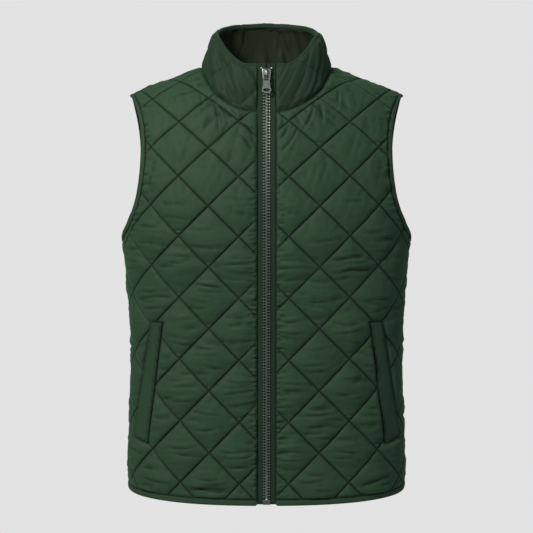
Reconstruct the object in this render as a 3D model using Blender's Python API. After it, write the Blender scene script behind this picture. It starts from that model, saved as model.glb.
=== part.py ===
"""Quilted vest with a stand collar and a centre front zip, cut and sewn from flat pieces.

Every cloth piece is laid out flat first, as (across, up) in metres, and then set on the form
of the filled-out garment.  X is the wearer's left, -Y the front, +Z up.  The origin is on
the middle plane, level with the points where the shoulder seams meet the collar.
"""
import math

import bmesh
import bpy
import numpy as np
from mathutils import Vector
from mathutils.geometry import delaunay_2d_cdt

MM = 0.001
GAP = 0.3 * MM              # between pieces that are sewn together
WALL = 2.2 * MM             # shell, wadding and lining pressed flat by the stitching
PUFF = 4.5 * MM             # how far a diamond's middle stands above its stitching
FRONT = -1
BACK = 1

# Torso: height of a level, then half width, front depth and back depth of its inside
SECTIONS_MM = (
    # height, half width, front, back
    (-640, 205, 104, 106),
    (-600, 207, 106, 107),
    (-520, 204, 109, 108),
    (-430, 201, 112, 108),
    (-350, 204, 116, 111),
    (-257, 212, 121, 117),
    (-235, 213, 121, 118),
)
SECTION_POWER = 2.5         # 2 is an ellipse, more is squarer
ARCH_Z = -235 * MM          # above this level the cloth leans in to the shoulders
HEM_Z = -640 * MM
HEM_RISE = 7 * MM           # at the side seams
NECK_POINT_X = 91 * MM
SHOULDER_TIP_X = 201 * MM
SHOULDER_SLOPE = 0.365      # drop of the shoulder seam for its run
SHOULDER_INSIDE = 4 * MM    # the inside lies this much under the top of the padded shoulder

# Armhole edge: height, then distance from the middle plane at the front and at the back
ARMHOLE_MM = (
    # height, front, back
    (-256, 213, 213),
    (-252, 212, 212.3),
    (-243, 209, 210.5),
    (-230, 202.5, 207),
    (-215, 196, 201),
    (-194, 189, 195.5),
    (-170, 184.5, 192.5),
    (-147, 182, 190.5),
    (-123, 181.2, 190),
    (-100, 182, 191.5),
    (-80, 185, 194),
    (-64, 190, 197),
    (-53, 195.5, 199),
    (-45, 201, 201),
)

# Neck seam: distance from the middle plane, then height
FRONT_NECK_MM = (
    # across, height
    (0, -67),
    (24, -65),
    (38, -61),
    (53, -54.5),
    (65, -47),
    (75, -38),
    (82, -27.5),
    (87, -17),
    (90, -8.5),
    (91, -4),
)
BACK_NECK_Z = -11 * MM      # the seam's height at the middle of the back
NECK_CLEAR = 3.2 * MM       # room for the collar's foot where it stands upright on the shoulder

# Collar's top edge: angle round from the front, then height
COLLAR_TOP_MM = (
    # degrees, height
    (0, 4),
    (26, 4.5),
    (35, 11),
    (44, 19),
    (53, 27),
    (61, 35),
    (70, 41),
    (90, 47.5),
    (110, 53.5),
    (130, 58),
    (180, 63),
)
COLLAR_HALF_WIDTH = 74.5 * MM
COLLAR_FRONT_Y = -78 * MM
COLLAR_BACK_Y = 50 * MM
COLLAR_BULGE = 1.5 * MM
COLLAR_PUFF = 3.5 * MM
COLLAR_END = 0.5 * MM       # its front edges stand back this much more than the panels' do
COLLAR_ROLL = 3.2 * MM      # radius of the fold along its top edge
COLLAR_TURN_IN = 4 * MM     # outer cloth that shows inside, below the fold
COLLAR_LINES = (
    # two families of stitch lines: where one meets the neck seam, from the middle of the back,
    # their spacing along the seam, and how far they lean along it for their height
    (-167.4 * MM, 69.8 * MM, -0.885),
    (-238.4 * MM, 67.7 * MM, 0.855),
)
LINING = 1.2 * MM

# Quilting: diamonds on their points.  For each panel, the first column of stitch crossings
# from the middle, and the width of a diamond
LEFT_DIAMONDS = (32 * MM, 88.5 * MM)
RIGHT_DIAMONDS = (-39.5 * MM, 87 * MM)
BACK_DIAMONDS = (0 * MM, 88 * MM)
FIRST_ROW_Z = -607 * MM
ROW_PITCH = 92.1 * MM
ROW_CLOSING = 0.0183 * MM   # the rows close up as they near the shoulders, by the fourth power
STEPS = 4                   # mesh cells along a diamond's side
EDGE_PRESS = 11 * MM        # the padding is squeezed out this far from a seam

BINDING_WIDTH = 9.6 * MM
BINDING_THICK = 5.6 * MM
BINDING_CENTRE = 1.7 * MM   # its middle, above the inside of the cloth

# Zip
TAPE_EDGE = 13.4 * MM       # where the front panels end
TAPE_INNER = 2 * MM
TAPE = 1 * MM
TAPE_SEAT = 0.4 * MM
ZIP_TOP_Z = 2 * MM
ZIP_BOTTOM_Z = HEM_Z + 2 * MM
ZIP_REACH = 6 * MM          # its slope is read over this much either way
CHAIN_HALF = 5.2 * MM
CHAIN = 2.2 * MM
CHAIN_END = 1 * MM          # below the slider
BOX_TOP_Z = HEM_Z + 9 * MM
BOX_HALF = 5.8 * MM
BOX = 3 * MM
SLIDER_Z = -15 * MM         # height of the pull tab's hinge
SLIDER_TOP = 9.2 * MM       # slider's body, above and below the hinge
SLIDER_BOTTOM = -7 * MM
SLIDER_THICK = 5 * MM
SLIDER_LIFT = 0.5 * MM      # the slider is straight and the tape behind it is not
SLIDER_SHOULDER = 6.6 * MM  # half its width at the top
SLIDER_WAIST = 5.6 * MM     # and below
SLIDER_NOTCH = 0.4 * MM     # where the shoulder runs in to the waist
SLIDER_NOTCH_UP = 1 * MM
SLIDER_CORNER = 2 * MM
HINGE_OUT = 2.3 * MM        # hinge, in front of the slider's body
BRIDGE_HALF = 1.1 * MM
BRIDGE_SIDE_MM = (
    # the bridge that the pull tab hangs on, seen from the side: up, out from the slider's front
    (8.2, -0.6),
    (6.8, 3.4),
    (3.6, 4.9),
    (-1.8, 4.9),
    (-3.6, 3.7),
    (-4.1, -0.6),
    (-2.4, -0.6),
    (-2.0, 3.2),
    (-1.2, 3.8),
    (1.6, 3.8),
    (2.2, 3.2),
    (2.4, -0.6),
)
PULL_THICK = 1.7 * MM
PULL_BAR = (5 * MM, -0.9 * MM)         # half width and height of the arc over its hinge bar
PULL_SIDE_MM = (
    # half width, height below the hinge
    (4.9, -3.5),
    (4.9, -9),
    (5.3, -15),
    (6.2, -19),
)
PULL_FOOT = (7 * MM, -22.3 * MM)       # half width and height of its flared foot
PULL_REACH = 27 * MM
PULL_EYE_MM = (
    (-3, -0.9),
    (3, -0.9),
    (3, -8.4),
    (-3, -8.4),
)
PULL_HOLE = (4.7 * MM, 2.2 * MM, -22.3 * MM)   # half width, half height and height of the hole

# Pocket welts: corners on the front, across and height
WELT_TOP_INNER = (149 * MM, -371 * MM)
WELT_TOP_OUTER = (165.5 * MM, -371 * MM)
WELT_BOTTOM_INNER = (172 * MM, -554 * MM)
WELT_BOTTOM_OUTER = (193.5 * MM, -547 * MM)
WELT_LIFT = 0.8 * MM
WELT_THICK = 3.2 * MM
WELT_CROWN = 7 * MM         # it is full this far in from its edge
WELT_RIM = 0.45             # its thickness at the edge, as a share
WELT_SPINE = 0.06           # its middle row of points starts this share down from its top


# Reading the tables

def smooth_table(rows, scale):
    keys = np.array([row[0] for row in rows], float) * scale
    values = np.array([row[1:] for row in rows], float) * MM
    return keys, values, np.gradient(values, keys, axis=0)


def read_table(table, key):
    keys, values, slopes = table
    key = min(max(key, keys[0]), keys[-1])
    i = min(int(np.searchsorted(keys, key, side="right")) - 1, len(keys) - 2)
    span = keys[i + 1] - keys[i]
    t = (key - keys[i]) / span
    start = values[i] * (1 + 2 * t) * (1 - t) ** 2 + slopes[i] * span * t * (1 - t) ** 2
    end = values[i + 1] * t * t * (3 - 2 * t) - slopes[i + 1] * span * t * t * (1 - t)
    return start + end


SECTIONS = smooth_table(SECTIONS_MM, MM)
ARMHOLE = smooth_table(ARMHOLE_MM, MM)
FRONT_NECK = smooth_table(FRONT_NECK_MM, MM)
COLLAR_TOP = smooth_table(COLLAR_TOP_MM, math.radians(1))


# The form of the filled-out garment

def running_length(*axes):
    steps = np.sqrt(sum(np.diff(axis) ** 2 for axis in axes))
    return np.concatenate(([0.0], np.cumsum(steps)))


QUARTER = np.linspace(0, math.pi / 2, 121)
RING_X = np.sin(QUARTER) ** (2 / SECTION_POWER)
RING_Y = np.maximum(np.cos(QUARTER), 0) ** (2 / SECTION_POWER)


def quarter_ring(side, z):
    """Length, x and y of one level, from the middle of the front or back to the side."""
    half_width, front, back = read_table(SECTIONS, min(z, ARCH_Z))
    x = half_width * RING_X
    y = (front if side == FRONT else back) * RING_Y
    return running_length(x, y), x, y


def ridge_height(x):
    """Height of the shoulder line, carried smoothly across the neck."""
    across = abs(x)
    if across > NECK_POINT_X:
        return -SHOULDER_INSIDE - SHOULDER_SLOPE * (across - NECK_POINT_X)
    return SHOULDER_SLOPE * (NECK_POINT_X ** 2 - across ** 2) / (2 * NECK_POINT_X) - SHOULDER_INSIDE


def arch(x, depth):
    """Length, y and z of the cloth's lean from the chest to the shoulder line."""
    y = depth * np.cos(QUARTER)
    z = (ridge_height(x) - ARCH_Z) * np.sin(QUARTER)
    return running_length(y, z), y, z + ARCH_Z


def torso_point(side, across, up):
    length, ring_x, ring_y = quarter_ring(side, up)
    x = np.interp(abs(across), length, ring_x)
    y = np.interp(abs(across), length, ring_y)
    z = up
    if up > ARCH_Z:
        arc, arch_y, arch_z = arch(x, y)
        y = np.interp(up - ARCH_Z, arc, arch_y)
        z = np.interp(up - ARCH_Z, arc, arch_z)
    return Vector((math.copysign(x, across), side * y, z))


def torso_seat(side, across, up):
    """A point on the inside of the cloth, and its direction outwards."""
    length = quarter_ring(side, up)[0][-1]
    step = 1 * MM
    low = torso_point(side, max(across - step, -length), up)
    high = torso_point(side, min(across + step, length), up)
    under = torso_point(side, across, up - step)
    over = torso_point(side, across, up)
    out = (high - low).cross(over - under) * -side
    return over, out.normalized()


def flat_point(side, x, z):
    """The flat place of the cloth that comes to lie at x and z."""
    length, ring_x, ring_y = quarter_ring(side, z)
    across = np.interp(abs(x), ring_x, length)
    up = z
    if z > ARCH_Z:
        arc, _, arch_z = arch(x, np.interp(abs(x), ring_x, ring_y))
        up = ARCH_Z + np.interp(z, arch_z, arc)
    return Vector((math.copysign(across, x), up))


def ridge_up(side, across):
    length, ring_x, ring_y = quarter_ring(side, ARCH_Z)
    x = np.interp(abs(across), length, ring_x)
    y = np.interp(abs(across), length, ring_y)
    return ARCH_Z + arch(x, y)[0][-1]


# Flat outlines

def hem_up(side, across):
    share = abs(across) / quarter_ring(side, HEM_Z)[0][-1]
    return HEM_Z + HEM_RISE * min(share, 1) ** 2.2


def even_points(points, spacing, closed=False):
    """The same line with its points set at an even spacing."""
    line = [Vector(point) for point in points]
    if closed:
        line.append(line[0])
    lengths = running_length(*np.array([tuple(point) for point in line]).T)
    count = max(1, round(lengths[-1] / spacing))
    wanted = np.linspace(0, lengths[-1], count + 1)
    columns = [np.interp(wanted, lengths, axis) for axis in np.array([tuple(p) for p in line]).T]
    result = [Vector(values) for values in zip(*columns)]
    return result[:-1] if closed else result


def moved_in(line, distance):
    """A flat line moved to its left by a distance."""
    moved = []
    for i, point in enumerate(line):
        ahead = line[min(i + 1, len(line) - 1)]
        behind = line[max(i - 1, 0)]
        run = (ahead - behind).normalized()
        moved.append(point + Vector((-run.y, run.x)) * distance)
    return moved


def armhole_line(side, inset):
    """The armhole on the wearer's left, from the side seam up to the shoulder."""
    column = 0 if side == FRONT else 1
    heights = np.linspace(ARMHOLE_MM[0][0], ARMHOLE_MM[-1][0], 60) * MM
    line = [flat_point(side, read_table(ARMHOLE, z)[column], z) for z in heights]
    line[0].x = quarter_ring(side, line[0].y)[0][-1]
    line = even_points(line, 11 * MM)
    line = moved_in(line, inset)
    low = ARMHOLE_MM[0][0] * MM - inset
    line[0] = Vector((quarter_ring(side, low)[0][-1], low))
    tip = SHOULDER_TIP_X - inset / math.hypot(1, SHOULDER_SLOPE)
    line[-1] = flat_point(side, tip, ridge_height(tip))
    return line


def front_neck_line():
    """From the middle of the front to the neck point, wearer's left."""
    across = np.linspace(0, NECK_POINT_X, 40)
    return [flat_point(FRONT, x, read_table(FRONT_NECK, x)[0]) for x in across]


def back_neck_line():
    """From the middle of the back to the neck point."""
    line = []
    for x in np.linspace(0, NECK_POINT_X, 40):
        share = (x / NECK_POINT_X) ** 2.5
        line.append(flat_point(BACK, x, BACK_NECK_Z * (1 - share) - SHOULDER_INSIDE * share))
    line[-1].y = ridge_up(BACK, line[-1].x)
    return line


def clear_of_collar(side, line):
    """The neck edge of a panel, drawn back from the seam where cloth and collar meet at an angle."""
    clear = []
    for i, point in enumerate(line):
        run = (line[min(i + 1, len(line) - 1)] - line[max(i - 1, 0)]).normalized()
        out = torso_seat(side, point.x, point.y)[1]
        clear.append(point + Vector((run.y, -run.x)) * (GAP + NECK_CLEAR * max(out.z, 0)))
    return clear


def half_outline(side, middle):
    """Neck, shoulder, armhole, side seam and hem of a panel, from its middle edge round."""
    neck_line = front_neck_line() if side == FRONT else back_neck_line()
    neck = [point for point in clear_of_collar(side, neck_line) if point.x > middle]
    first_neck = np.interp(middle, [point.x for point in neck], [point.y for point in neck])
    neck = even_points([(middle, first_neck)] + neck, 11 * MM)
    hole = armhole_line(side, BINDING_WIDTH + GAP)[::-1]
    neck[-1].y = ridge_up(side, neck[-1].x) - GAP / 2
    hole[0].y = ridge_up(side, hole[0].x) - GAP / 2
    hole[-1].x -= GAP / 2
    shoulder = []
    for across in np.linspace(neck[-1].x, hole[0].x, 9)[1:-1]:
        shoulder.append(Vector((across, ridge_up(side, across) - GAP / 2)))
    lift = BINDING_WIDTH + GAP
    bottom = HEM_Z + HEM_RISE + lift
    seam = []
    for up in np.linspace(hole[-1].y, bottom, 24)[1:]:
        seam.append(Vector((quarter_ring(side, up)[0][-1] - GAP / 2, up)))
    hem = []
    for across in np.linspace(seam[-1].x, middle, 17)[1:]:
        hem.append(Vector((across, hem_up(side, across) + lift)))
    edge = []
    if side == FRONT:
        edge = even_points([hem[-1], (middle, first_neck)], 11 * MM)[1:-1]
    return neck + shoulder + hole + seam + hem + edge


def edge_distance(point, loop):
    ends = np.array([tuple(corner) for corner in loop])
    runs = np.roll(ends, -1, axis=0) - ends
    away = np.array(tuple(point)) - ends
    share = np.clip((away * runs).sum(1) / np.maximum((runs * runs).sum(1), 1e-12), 0, 1)
    return np.sqrt(((away - runs * share[:, None]) ** 2).sum(1)).min()


def is_inside(point, loop):
    inside = False
    for one, other in zip(loop, loop[1:] + loop[:1]):
        if (one.y > point.y) != (other.y > point.y):
            cross = one.x + (point.y - one.y) * (other.x - one.x) / (other.y - one.y)
            inside ^= cross > point.x
    return inside


def points_inside(points, loop, margin):
    return [p for p in points if is_inside(p, loop) and edge_distance(p, loop) > margin]


# Quilting

def ease(value):
    value = min(max(value, 0), 1)
    return value * value * (3 - 2 * value)


def pillow(one, other):
    """Height of the padding between two families of stitch lines, which lie at whole numbers."""
    return math.sqrt(abs(math.sin(math.pi * one) * math.sin(math.pi * other)))


def row_height(number):
    """Height of a row of stitch crossings, counted from the lowest."""
    return FIRST_ROW_Z + ROW_PITCH * number - ROW_CLOSING * number ** 4


ROW_NUMBERS = np.linspace(-1, 9, 400)
ROW_HEIGHTS = row_height(ROW_NUMBERS)


def body_quilting(across, up, diamonds):
    column = (across - diamonds[0]) / diamonds[1]
    row = np.interp(up, ROW_HEIGHTS, ROW_NUMBERS)
    return column + row, column - row


def body_lattice(diamonds, steps):
    """Flat points on the stitch lines and between them."""
    points = []
    for one in range(-6 * steps, 14 * steps):
        for other in range(-14 * steps, 8 * steps):
            across = diamonds[0] + diamonds[1] * (one + other) / (2 * steps)
            row = (one - other) / (2 * steps)
            if -1 < row < 9:
                points.append(Vector((across, row_height(row))))
    return points


# Solids

def srgb(red, green, blue):
    return tuple((value / 255) ** 2.2 for value in (red, green, blue)) + (1.0,)


def finish(name, colour, roughness, metallic=0.0):
    material = bpy.data.materials.new(name)
    material.use_nodes = True
    shader = material.node_tree.nodes["Principled BSDF"]
    shader.inputs["Base Color"].default_value = colour
    shader.inputs["Roughness"].default_value = roughness
    shader.inputs["Metallic"].default_value = metallic
    return material


def add_object(name, mesh_data, material):
    bmesh.ops.recalc_face_normals(mesh_data, faces=mesh_data.faces)
    mesh = bpy.data.meshes.new(name)
    mesh_data.to_mesh(mesh)
    mesh_data.free()
    mesh.materials.append(material.copy())
    piece = bpy.data.objects.new(name, mesh)
    bpy.context.collection.objects.link(piece)
    mesh.shade_smooth()
    mesh.set_sharp_from_angle(angle=math.radians(50))
    return piece


def triangles(loops, inside):
    """Triangles over a flat outline, less its holes, as numbers into the loops' points."""
    points = [point for loop in loops for point in loop] + inside
    edges = []
    start = 0
    for loop in loops:
        edges += [(start + i, start + (i + 1) % len(loop)) for i in range(len(loop))]
        start += len(loop)
    flat = [Vector(point[:2]) / MM for point in points]
    _, _, faces, origins, _, _ = delaunay_2d_cdt(flat, edges, [], 1, 1e-6)
    result = []
    for face in faces:
        corners = [origins[corner][0] for corner in face]
        middle = sum((Vector(points[corner][:2]) for corner in corners), Vector((0, 0))) / 3
        if not any(is_inside(middle, hole) for hole in loops[1:]):
            result.append(corners)
    return points, result


def wall(name, loops, outer_inside, inner_inside, outer, inner, material):
    """A closed wall over a flat outline; its two faces share the outline's points."""
    mesh_data = bmesh.new()
    rims = []
    for inside, place in ((outer_inside, outer), (inner_inside, inner)):
        points, faces = triangles(loops, inside)
        corners = [mesh_data.verts.new(place(point)) for point in points]
        for face in faces:
            order = face if place is outer else face[::-1]
            mesh_data.faces.new([corners[i] for i in order])
        rims.append(corners)
    start = 0
    for loop in loops:
        for i in range(len(loop)):
            here = start + i
            ahead = start + (i + 1) % len(loop)
            mesh_data.faces.new((rims[0][ahead], rims[0][here], rims[1][here], rims[1][ahead]))
        start += len(loop)
    return add_object(name, mesh_data, material)


def strip(name, seats, section, closed, material):
    """A section carried along seats, each a place with its directions across and outwards."""
    mesh_data = bmesh.new()
    rings = []
    for place, across, out in seats:
        points = [place + across * wide + out * high for wide, high in section]
        rings.append([mesh_data.verts.new(point) for point in points])
    pairs = list(zip(rings, rings[1:]))
    if closed:
        pairs.append((rings[-1], rings[0]))
    for ring, following in pairs:
        for i in range(len(ring)):
            j = (i + 1) % len(ring)
            mesh_data.faces.new((ring[i], ring[j], following[j], following[i]))
    if not closed:
        mesh_data.faces.new(rings[0][::-1])
        mesh_data.faces.new(rings[-1])
    return add_object(name, mesh_data, material)


def rounded_section(width, thick, count):
    """A flat oval, as points across and out."""
    section = []
    for i in range(count):
        turn = 2 * math.pi * (i + 0.5) / count
        wide = math.copysign(abs(math.cos(turn)) ** 0.7, math.cos(turn))
        high = math.copysign(abs(math.sin(turn)) ** 0.7, math.sin(turn))
        section.append((wide * width / 2, high * thick / 2))
    return section


# Body panels, bindings and welts

def welt_outline(sign):
    corners = [WELT_TOP_INNER, WELT_TOP_OUTER, WELT_BOTTOM_OUTER, WELT_BOTTOM_INNER]
    flat = [flat_point(FRONT, *corner) for corner in corners]
    loop = even_points(flat, 12 * MM, closed=True)
    return [Vector((point.x * sign, point.y)) for point in loop]


def panel_height(across, up, diamonds, outline, flats):
    one, other = body_quilting(across, up, diamonds)
    point = Vector((across, up))
    press = ease(edge_distance(point, outline) / EDGE_PRESS)
    for flat in flats:
        press *= 0 if is_inside(point, flat) else ease(edge_distance(point, flat) / EDGE_PRESS)
    return WALL + PUFF * pillow(one, other) * press


def panel(name, side, outline, diamonds, flats, material):
    def outer(point):
        place, out = torso_seat(side, *point)
        return place + out * panel_height(point.x, point.y, diamonds, outline, flats)

    def inner(point):
        return torso_seat(side, *point)[0]

    fine = points_inside(body_lattice(diamonds, STEPS), outline, 5 * MM)
    for flat in flats:
        fine = [point for point in fine if edge_distance(point, flat) > 5 * MM] + flat
    coarse = points_inside(body_lattice(diamonds, STEPS // 2), outline, 8 * MM)
    return wall(name, [outline], fine, coarse, outer, inner, material)


def mirrored(line):
    return [Vector((-point.x, point.y)) for point in line]


def armhole_binding(name, sign, material):
    seats = []
    for side in (FRONT, BACK):
        edge = [torso_point(side, *point) for point in armhole_line(side, 0)]
        inside = [torso_seat(side, *point) for point in armhole_line(side, BINDING_WIDTH - GAP)]
        half = []
        for place, (inner_place, out) in zip(edge, inside):
            middle = place.lerp(inner_place, 0.5) + out * BINDING_CENTRE
            half.append((middle, (inner_place - place) / 2, out))
        seats += half[:-1] if side == FRONT else half[:0:-1]
    for seat in seats:
        for vector in seat:
            vector.x *= sign
    return strip(name, seats, rounded_section(2, BINDING_THICK, 8), True, material)


def hem_binding(material):
    seats = []
    round_line = []
    for side in (FRONT, BACK):
        length = quarter_ring(side, HEM_Z)[0][-1]
        count = round(length / (17 * MM))
        start = TAPE_EDGE if side == FRONT else 0
        half = [(side, across) for across in np.linspace(start, length, count)]
        round_line += half if side == FRONT else half[::-1][1:]
    both = round_line + [(side, -across) for side, across in round_line[::-1][1:]]
    for side, across in both:
        place, out = torso_seat(side, across, hem_up(side, across) + BINDING_WIDTH / 2)
        seats.append((place + out * BINDING_CENTRE, Vector((0, 0, 1)), out))
    return strip("hem_binding", seats, rounded_section(BINDING_WIDTH, BINDING_THICK, 8), False, material)


def pocket_welt(name, sign, material):
    outline = welt_outline(sign)
    spine = []
    for share in np.linspace(WELT_SPINE, 1 - WELT_SPINE, 12):
        inner = flat_point(FRONT, *WELT_TOP_INNER).lerp(flat_point(FRONT, *WELT_BOTTOM_INNER), share)
        outer = flat_point(FRONT, *WELT_TOP_OUTER).lerp(flat_point(FRONT, *WELT_BOTTOM_OUTER), share)
        spine.append(inner.lerp(outer, 0.5))
    spine = [Vector((point.x * sign, point.y)) for point in spine]

    def lifted(point, height):
        place, out = torso_seat(FRONT, *point)
        return place + out * (WALL + WELT_LIFT + height)

    def outer(point):
        crown = WELT_RIM + (1 - WELT_RIM) * ease(edge_distance(point, outline) / WELT_CROWN)
        return lifted(point, WELT_THICK * crown)

    def inner(point):
        return lifted(point, 0)

    return wall(name, [outline], spine, spine, outer, inner, material)


# Collar

def to_zip(ring):
    """The ring, ended at the zip's edge."""
    end = TAPE_EDGE + COLLAR_END
    kept = [point for point in ring if point.x > end or point.y > 0]
    share = (kept[-1].x - end) / (kept[-1].x - ring[len(kept)].x)
    return kept + [kept[-1].lerp(ring[len(kept)], share)]


def neck_ring():
    """The neck seam from the middle of the back round to the zip."""
    back = [torso_point(BACK, *point) for point in back_neck_line()]
    front = [torso_point(FRONT, *point) for point in front_neck_line()]
    return to_zip(back + front[::-1][1:])


def top_ring():
    """The line under the collar's fold, from the middle of the back to the front."""
    ring = []
    middle = (COLLAR_FRONT_Y + COLLAR_BACK_Y) / 2
    reach = (COLLAR_BACK_Y - COLLAR_FRONT_Y) / 2
    for turn in np.linspace(math.pi, 0, 61):
        height = read_table(COLLAR_TOP, turn)[0] - COLLAR_ROLL
        sideways = abs(math.sin(turn)) ** 0.9
        ahead = math.copysign(abs(math.cos(turn)) ** 0.9, math.cos(turn))
        ring.append(Vector((COLLAR_HALF_WIDTH * sideways, middle - reach * ahead, height)))
    return to_zip(ring)


def by_length(ring):
    array = np.array([tuple(point) for point in ring])
    lengths = running_length(*array.T)
    return lengths, array


NECK_RING = by_length(neck_ring())
TOP_RING = by_length(top_ring())
COLLAR_HALF = NECK_RING[0][-1]


def on_ring(ring, share):
    lengths, array = ring
    return Vector([np.interp(share * lengths[-1], lengths, axis) for axis in array.T])


def collar_frame(along):
    """Foot, top and outward direction of the collar, along its seam from the middle of the back."""
    share = min(abs(along) / COLLAR_HALF, 1)
    foot = on_ring(NECK_RING, share)
    top = on_ring(TOP_RING, share)
    behind = max(share - 0.02, 0)
    ahead = min(share + 0.02, 1)
    run = on_ring(NECK_RING, ahead) + on_ring(TOP_RING, ahead)
    run -= on_ring(NECK_RING, behind) + on_ring(TOP_RING, behind)
    out = (top - foot).cross(run).normalized()
    if out.dot(foot + top - Vector((0, COLLAR_FRONT_Y + COLLAR_BACK_Y, 0))) < 0:
        out = -out
    if along < 0:
        foot, top, out = (Vector((-vector.x, vector.y, vector.z)) for vector in (foot, top, out))
    return foot, top, out


def collar_height(along):
    foot, top, _ = collar_frame(along)
    return (top - foot).length


def collar_point(along, up, depth):
    """A point of the collar: up from the seam and over the fold, depth below its outer face."""
    foot, top, out = collar_frame(along)
    height = (top - foot).length
    rise = (top - foot) / height
    bulge = COLLAR_BULGE * math.sin(math.pi * min(max(up / height, 0), 1))
    if up <= height:
        return foot + rise * up + out * (WALL + bulge - depth)
    centre = top + out * (WALL - COLLAR_ROLL)
    turn = (up - height) / COLLAR_ROLL
    radius = COLLAR_ROLL - depth
    if turn <= math.pi:
        return centre + (out * math.cos(turn) + rise * math.sin(turn)) * radius
    return centre - out * radius - rise * (up - height - math.pi * COLLAR_ROLL)


def collar_quilting(along, up):
    return [(along - lean * up - start) / spacing for start, spacing, lean in COLLAR_LINES]


def collar_lattice(steps):
    """Flat points on the collar's stitch lines and between them."""
    (start, spacing, lean), (other_start, other_spacing, other_lean) = COLLAR_LINES
    points = []
    for one in range(-3 * steps, 9 * steps):
        for other in range(-3 * steps, 9 * steps):
            foot = start + spacing * one / steps
            other_foot = other_start + other_spacing * other / steps
            up = (foot - other_foot) / (other_lean - lean)
            points.append(Vector((foot + lean * up, up)))
    return points


COLLAR_COLUMNS = np.linspace(-COLLAR_HALF, COLLAR_HALF, 43)


def collar_outer(material):
    columns = COLLAR_COLUMNS
    fold = math.pi * COLLAR_ROLL
    last = fold + COLLAR_TURN_IN
    foot_line = [Vector((along, GAP * 2)) for along in columns]
    end_height = collar_height(columns[-1])
    end_rows = [Vector((columns[-1], end_height * share)) for share in (0.2, 0.4, 0.6, 0.8)]
    top_rows = []
    for share in (0, 0.25, 0.5, 0.75, 1):
        top_rows.append([Vector((along, collar_height(along) + fold * share)) for along in columns])
    edge_line = [Vector((along, collar_height(along) + last)) for along in columns]
    end_column = end_rows + [row[-1] for row in top_rows]
    start_column = [Vector((-point.x, point.y)) for point in end_column[::-1]]
    outline = foot_line + end_column + edge_line[::-1] + start_column
    body = [Vector((along, collar_height(along))) for along in columns]
    face = foot_line + body[::-1]
    roll = [point for row in top_rows for point in row[1:-1]]

    def outer(point):
        height = collar_height(point.x)
        one, other = collar_quilting(point.x, point.y)
        press = ease(min(point.y, collar_half_gap(point)) / EDGE_PRESS)
        press *= ease((height + 2 * MM - point.y) / EDGE_PRESS)
        return collar_point(point.x, point.y, -COLLAR_PUFF * pillow(one, other) * press)

    def collar_half_gap(point):
        return columns[-1] - abs(point.x) + 3 * MM

    def inner(point):
        return collar_point(point.x, point.y, WALL)

    fine = points_inside(collar_lattice(STEPS), face, 5 * MM) + roll
    coarse = []
    for along in columns[2:-2:2]:
        coarse += [Vector((along, collar_height(along) * share)) for share in (0.35, 0.7)]
    return wall("collar_outer", [outline], fine, coarse + roll, outer, inner, material)


def collar_lining(material):
    columns = COLLAR_COLUMNS
    depth = 2 * COLLAR_ROLL
    low = 1 * MM

    def high(along):
        return collar_height(along) - COLLAR_TURN_IN - 2 * GAP

    foot_line = [Vector((along, low)) for along in columns]
    top_line = [Vector((along, high(along))) for along in columns[::-1]]
    end_column = [Vector((columns[-1], high(columns[-1]) * share)) for share in (0.25, 0.5, 0.75)]
    start_column = [Vector((-point.x, point.y)) for point in end_column[::-1]]
    middle = []
    for along in columns[1:-1]:
        middle += [Vector((along, high(along) * share)) for share in (0.25, 0.5, 0.75)]

    def facing_out(point):
        return collar_point(point.x, point.y, depth - LINING)

    def facing_neck(point):
        return collar_point(point.x, point.y, depth)

    outline = foot_line + end_column + top_line + start_column
    return wall("collar_lining", [outline], middle, middle, facing_out, facing_neck, material)


# Zip, along the middle of the front

def zip_line():
    """The inside of the cloth on the middle plane, from the hem to the collar's top."""
    neck_up = flat_point(FRONT, 0, FRONT_NECK_MM[0][1] * MM).y
    line = [torso_point(FRONT, 0, up) for up in np.linspace(ZIP_BOTTOM_Z, neck_up, 40)]
    foot, top, _ = collar_frame(COLLAR_HALF)
    line += [foot.lerp(top, share) for share in np.linspace(0, 1, 9)[1:]]
    line = np.array([tuple(point) for point in line])
    for _ in range(3):
        line[1:-1] = (line[:-2] + 2 * line[1:-1] + line[2:]) / 4
    return line


ZIP_LINE = zip_line()


def zip_seat(z):
    """Place of the zip's cloth at a height, and its directions outwards and along."""
    low = max(z - ZIP_REACH, ZIP_LINE[0, 2])
    high = min(z + ZIP_REACH, ZIP_LINE[-1, 2])
    y, y_low, y_high = np.interp((z, low, high), ZIP_LINE[:, 2], ZIP_LINE[:, 1])
    run = Vector((0, y_high - y_low, high - low)).normalized()
    return Vector((0, y, z)), Vector((0, -run.z, run.y)), run


def zip_strip(name, low, high, section, material):
    seats = []
    for z in np.linspace(low, high, max(2, round((high - low) / (17 * MM)))):
        place, out, _ = zip_seat(z)
        seats.append((place, Vector((1, 0, 0)), out))
    return strip(name, seats, section, False, material)


def box_section(x_low, x_high, out_low, out_high):
    return [(x_low, out_low), (x_high, out_low), (x_high, out_high), (x_low, out_high)]


def zip_tape(name, sign, material):
    sides = sorted((TAPE_INNER * sign, (TAPE_EDGE - GAP) * sign))
    section = box_section(sides[0], sides[1], TAPE_SEAT, TAPE_SEAT + TAPE)
    return zip_strip(name, ZIP_BOTTOM_Z, ZIP_TOP_Z, section, material)


CHAIN_BACK = TAPE_SEAT + TAPE + GAP
SLIDER_BACK = CHAIN_BACK + SLIDER_LIFT
SLIDER_FRONT = SLIDER_BACK + SLIDER_THICK


def slider_place(x, up, out_distance):
    """A point in the slider's own directions, from its hinge height."""
    place, out, run = zip_seat(SLIDER_Z)
    return place + Vector((x, 0, 0)) + run * up + out * out_distance


def plate(name, loops, back, front, material):
    """A flat plate with holes in the slider's directions."""
    def outer(point):
        return slider_place(point.x, point.y, front)

    def inner(point):
        return slider_place(point.x, point.y, back)

    return wall(name, loops, [], [], outer, inner, material)


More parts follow.
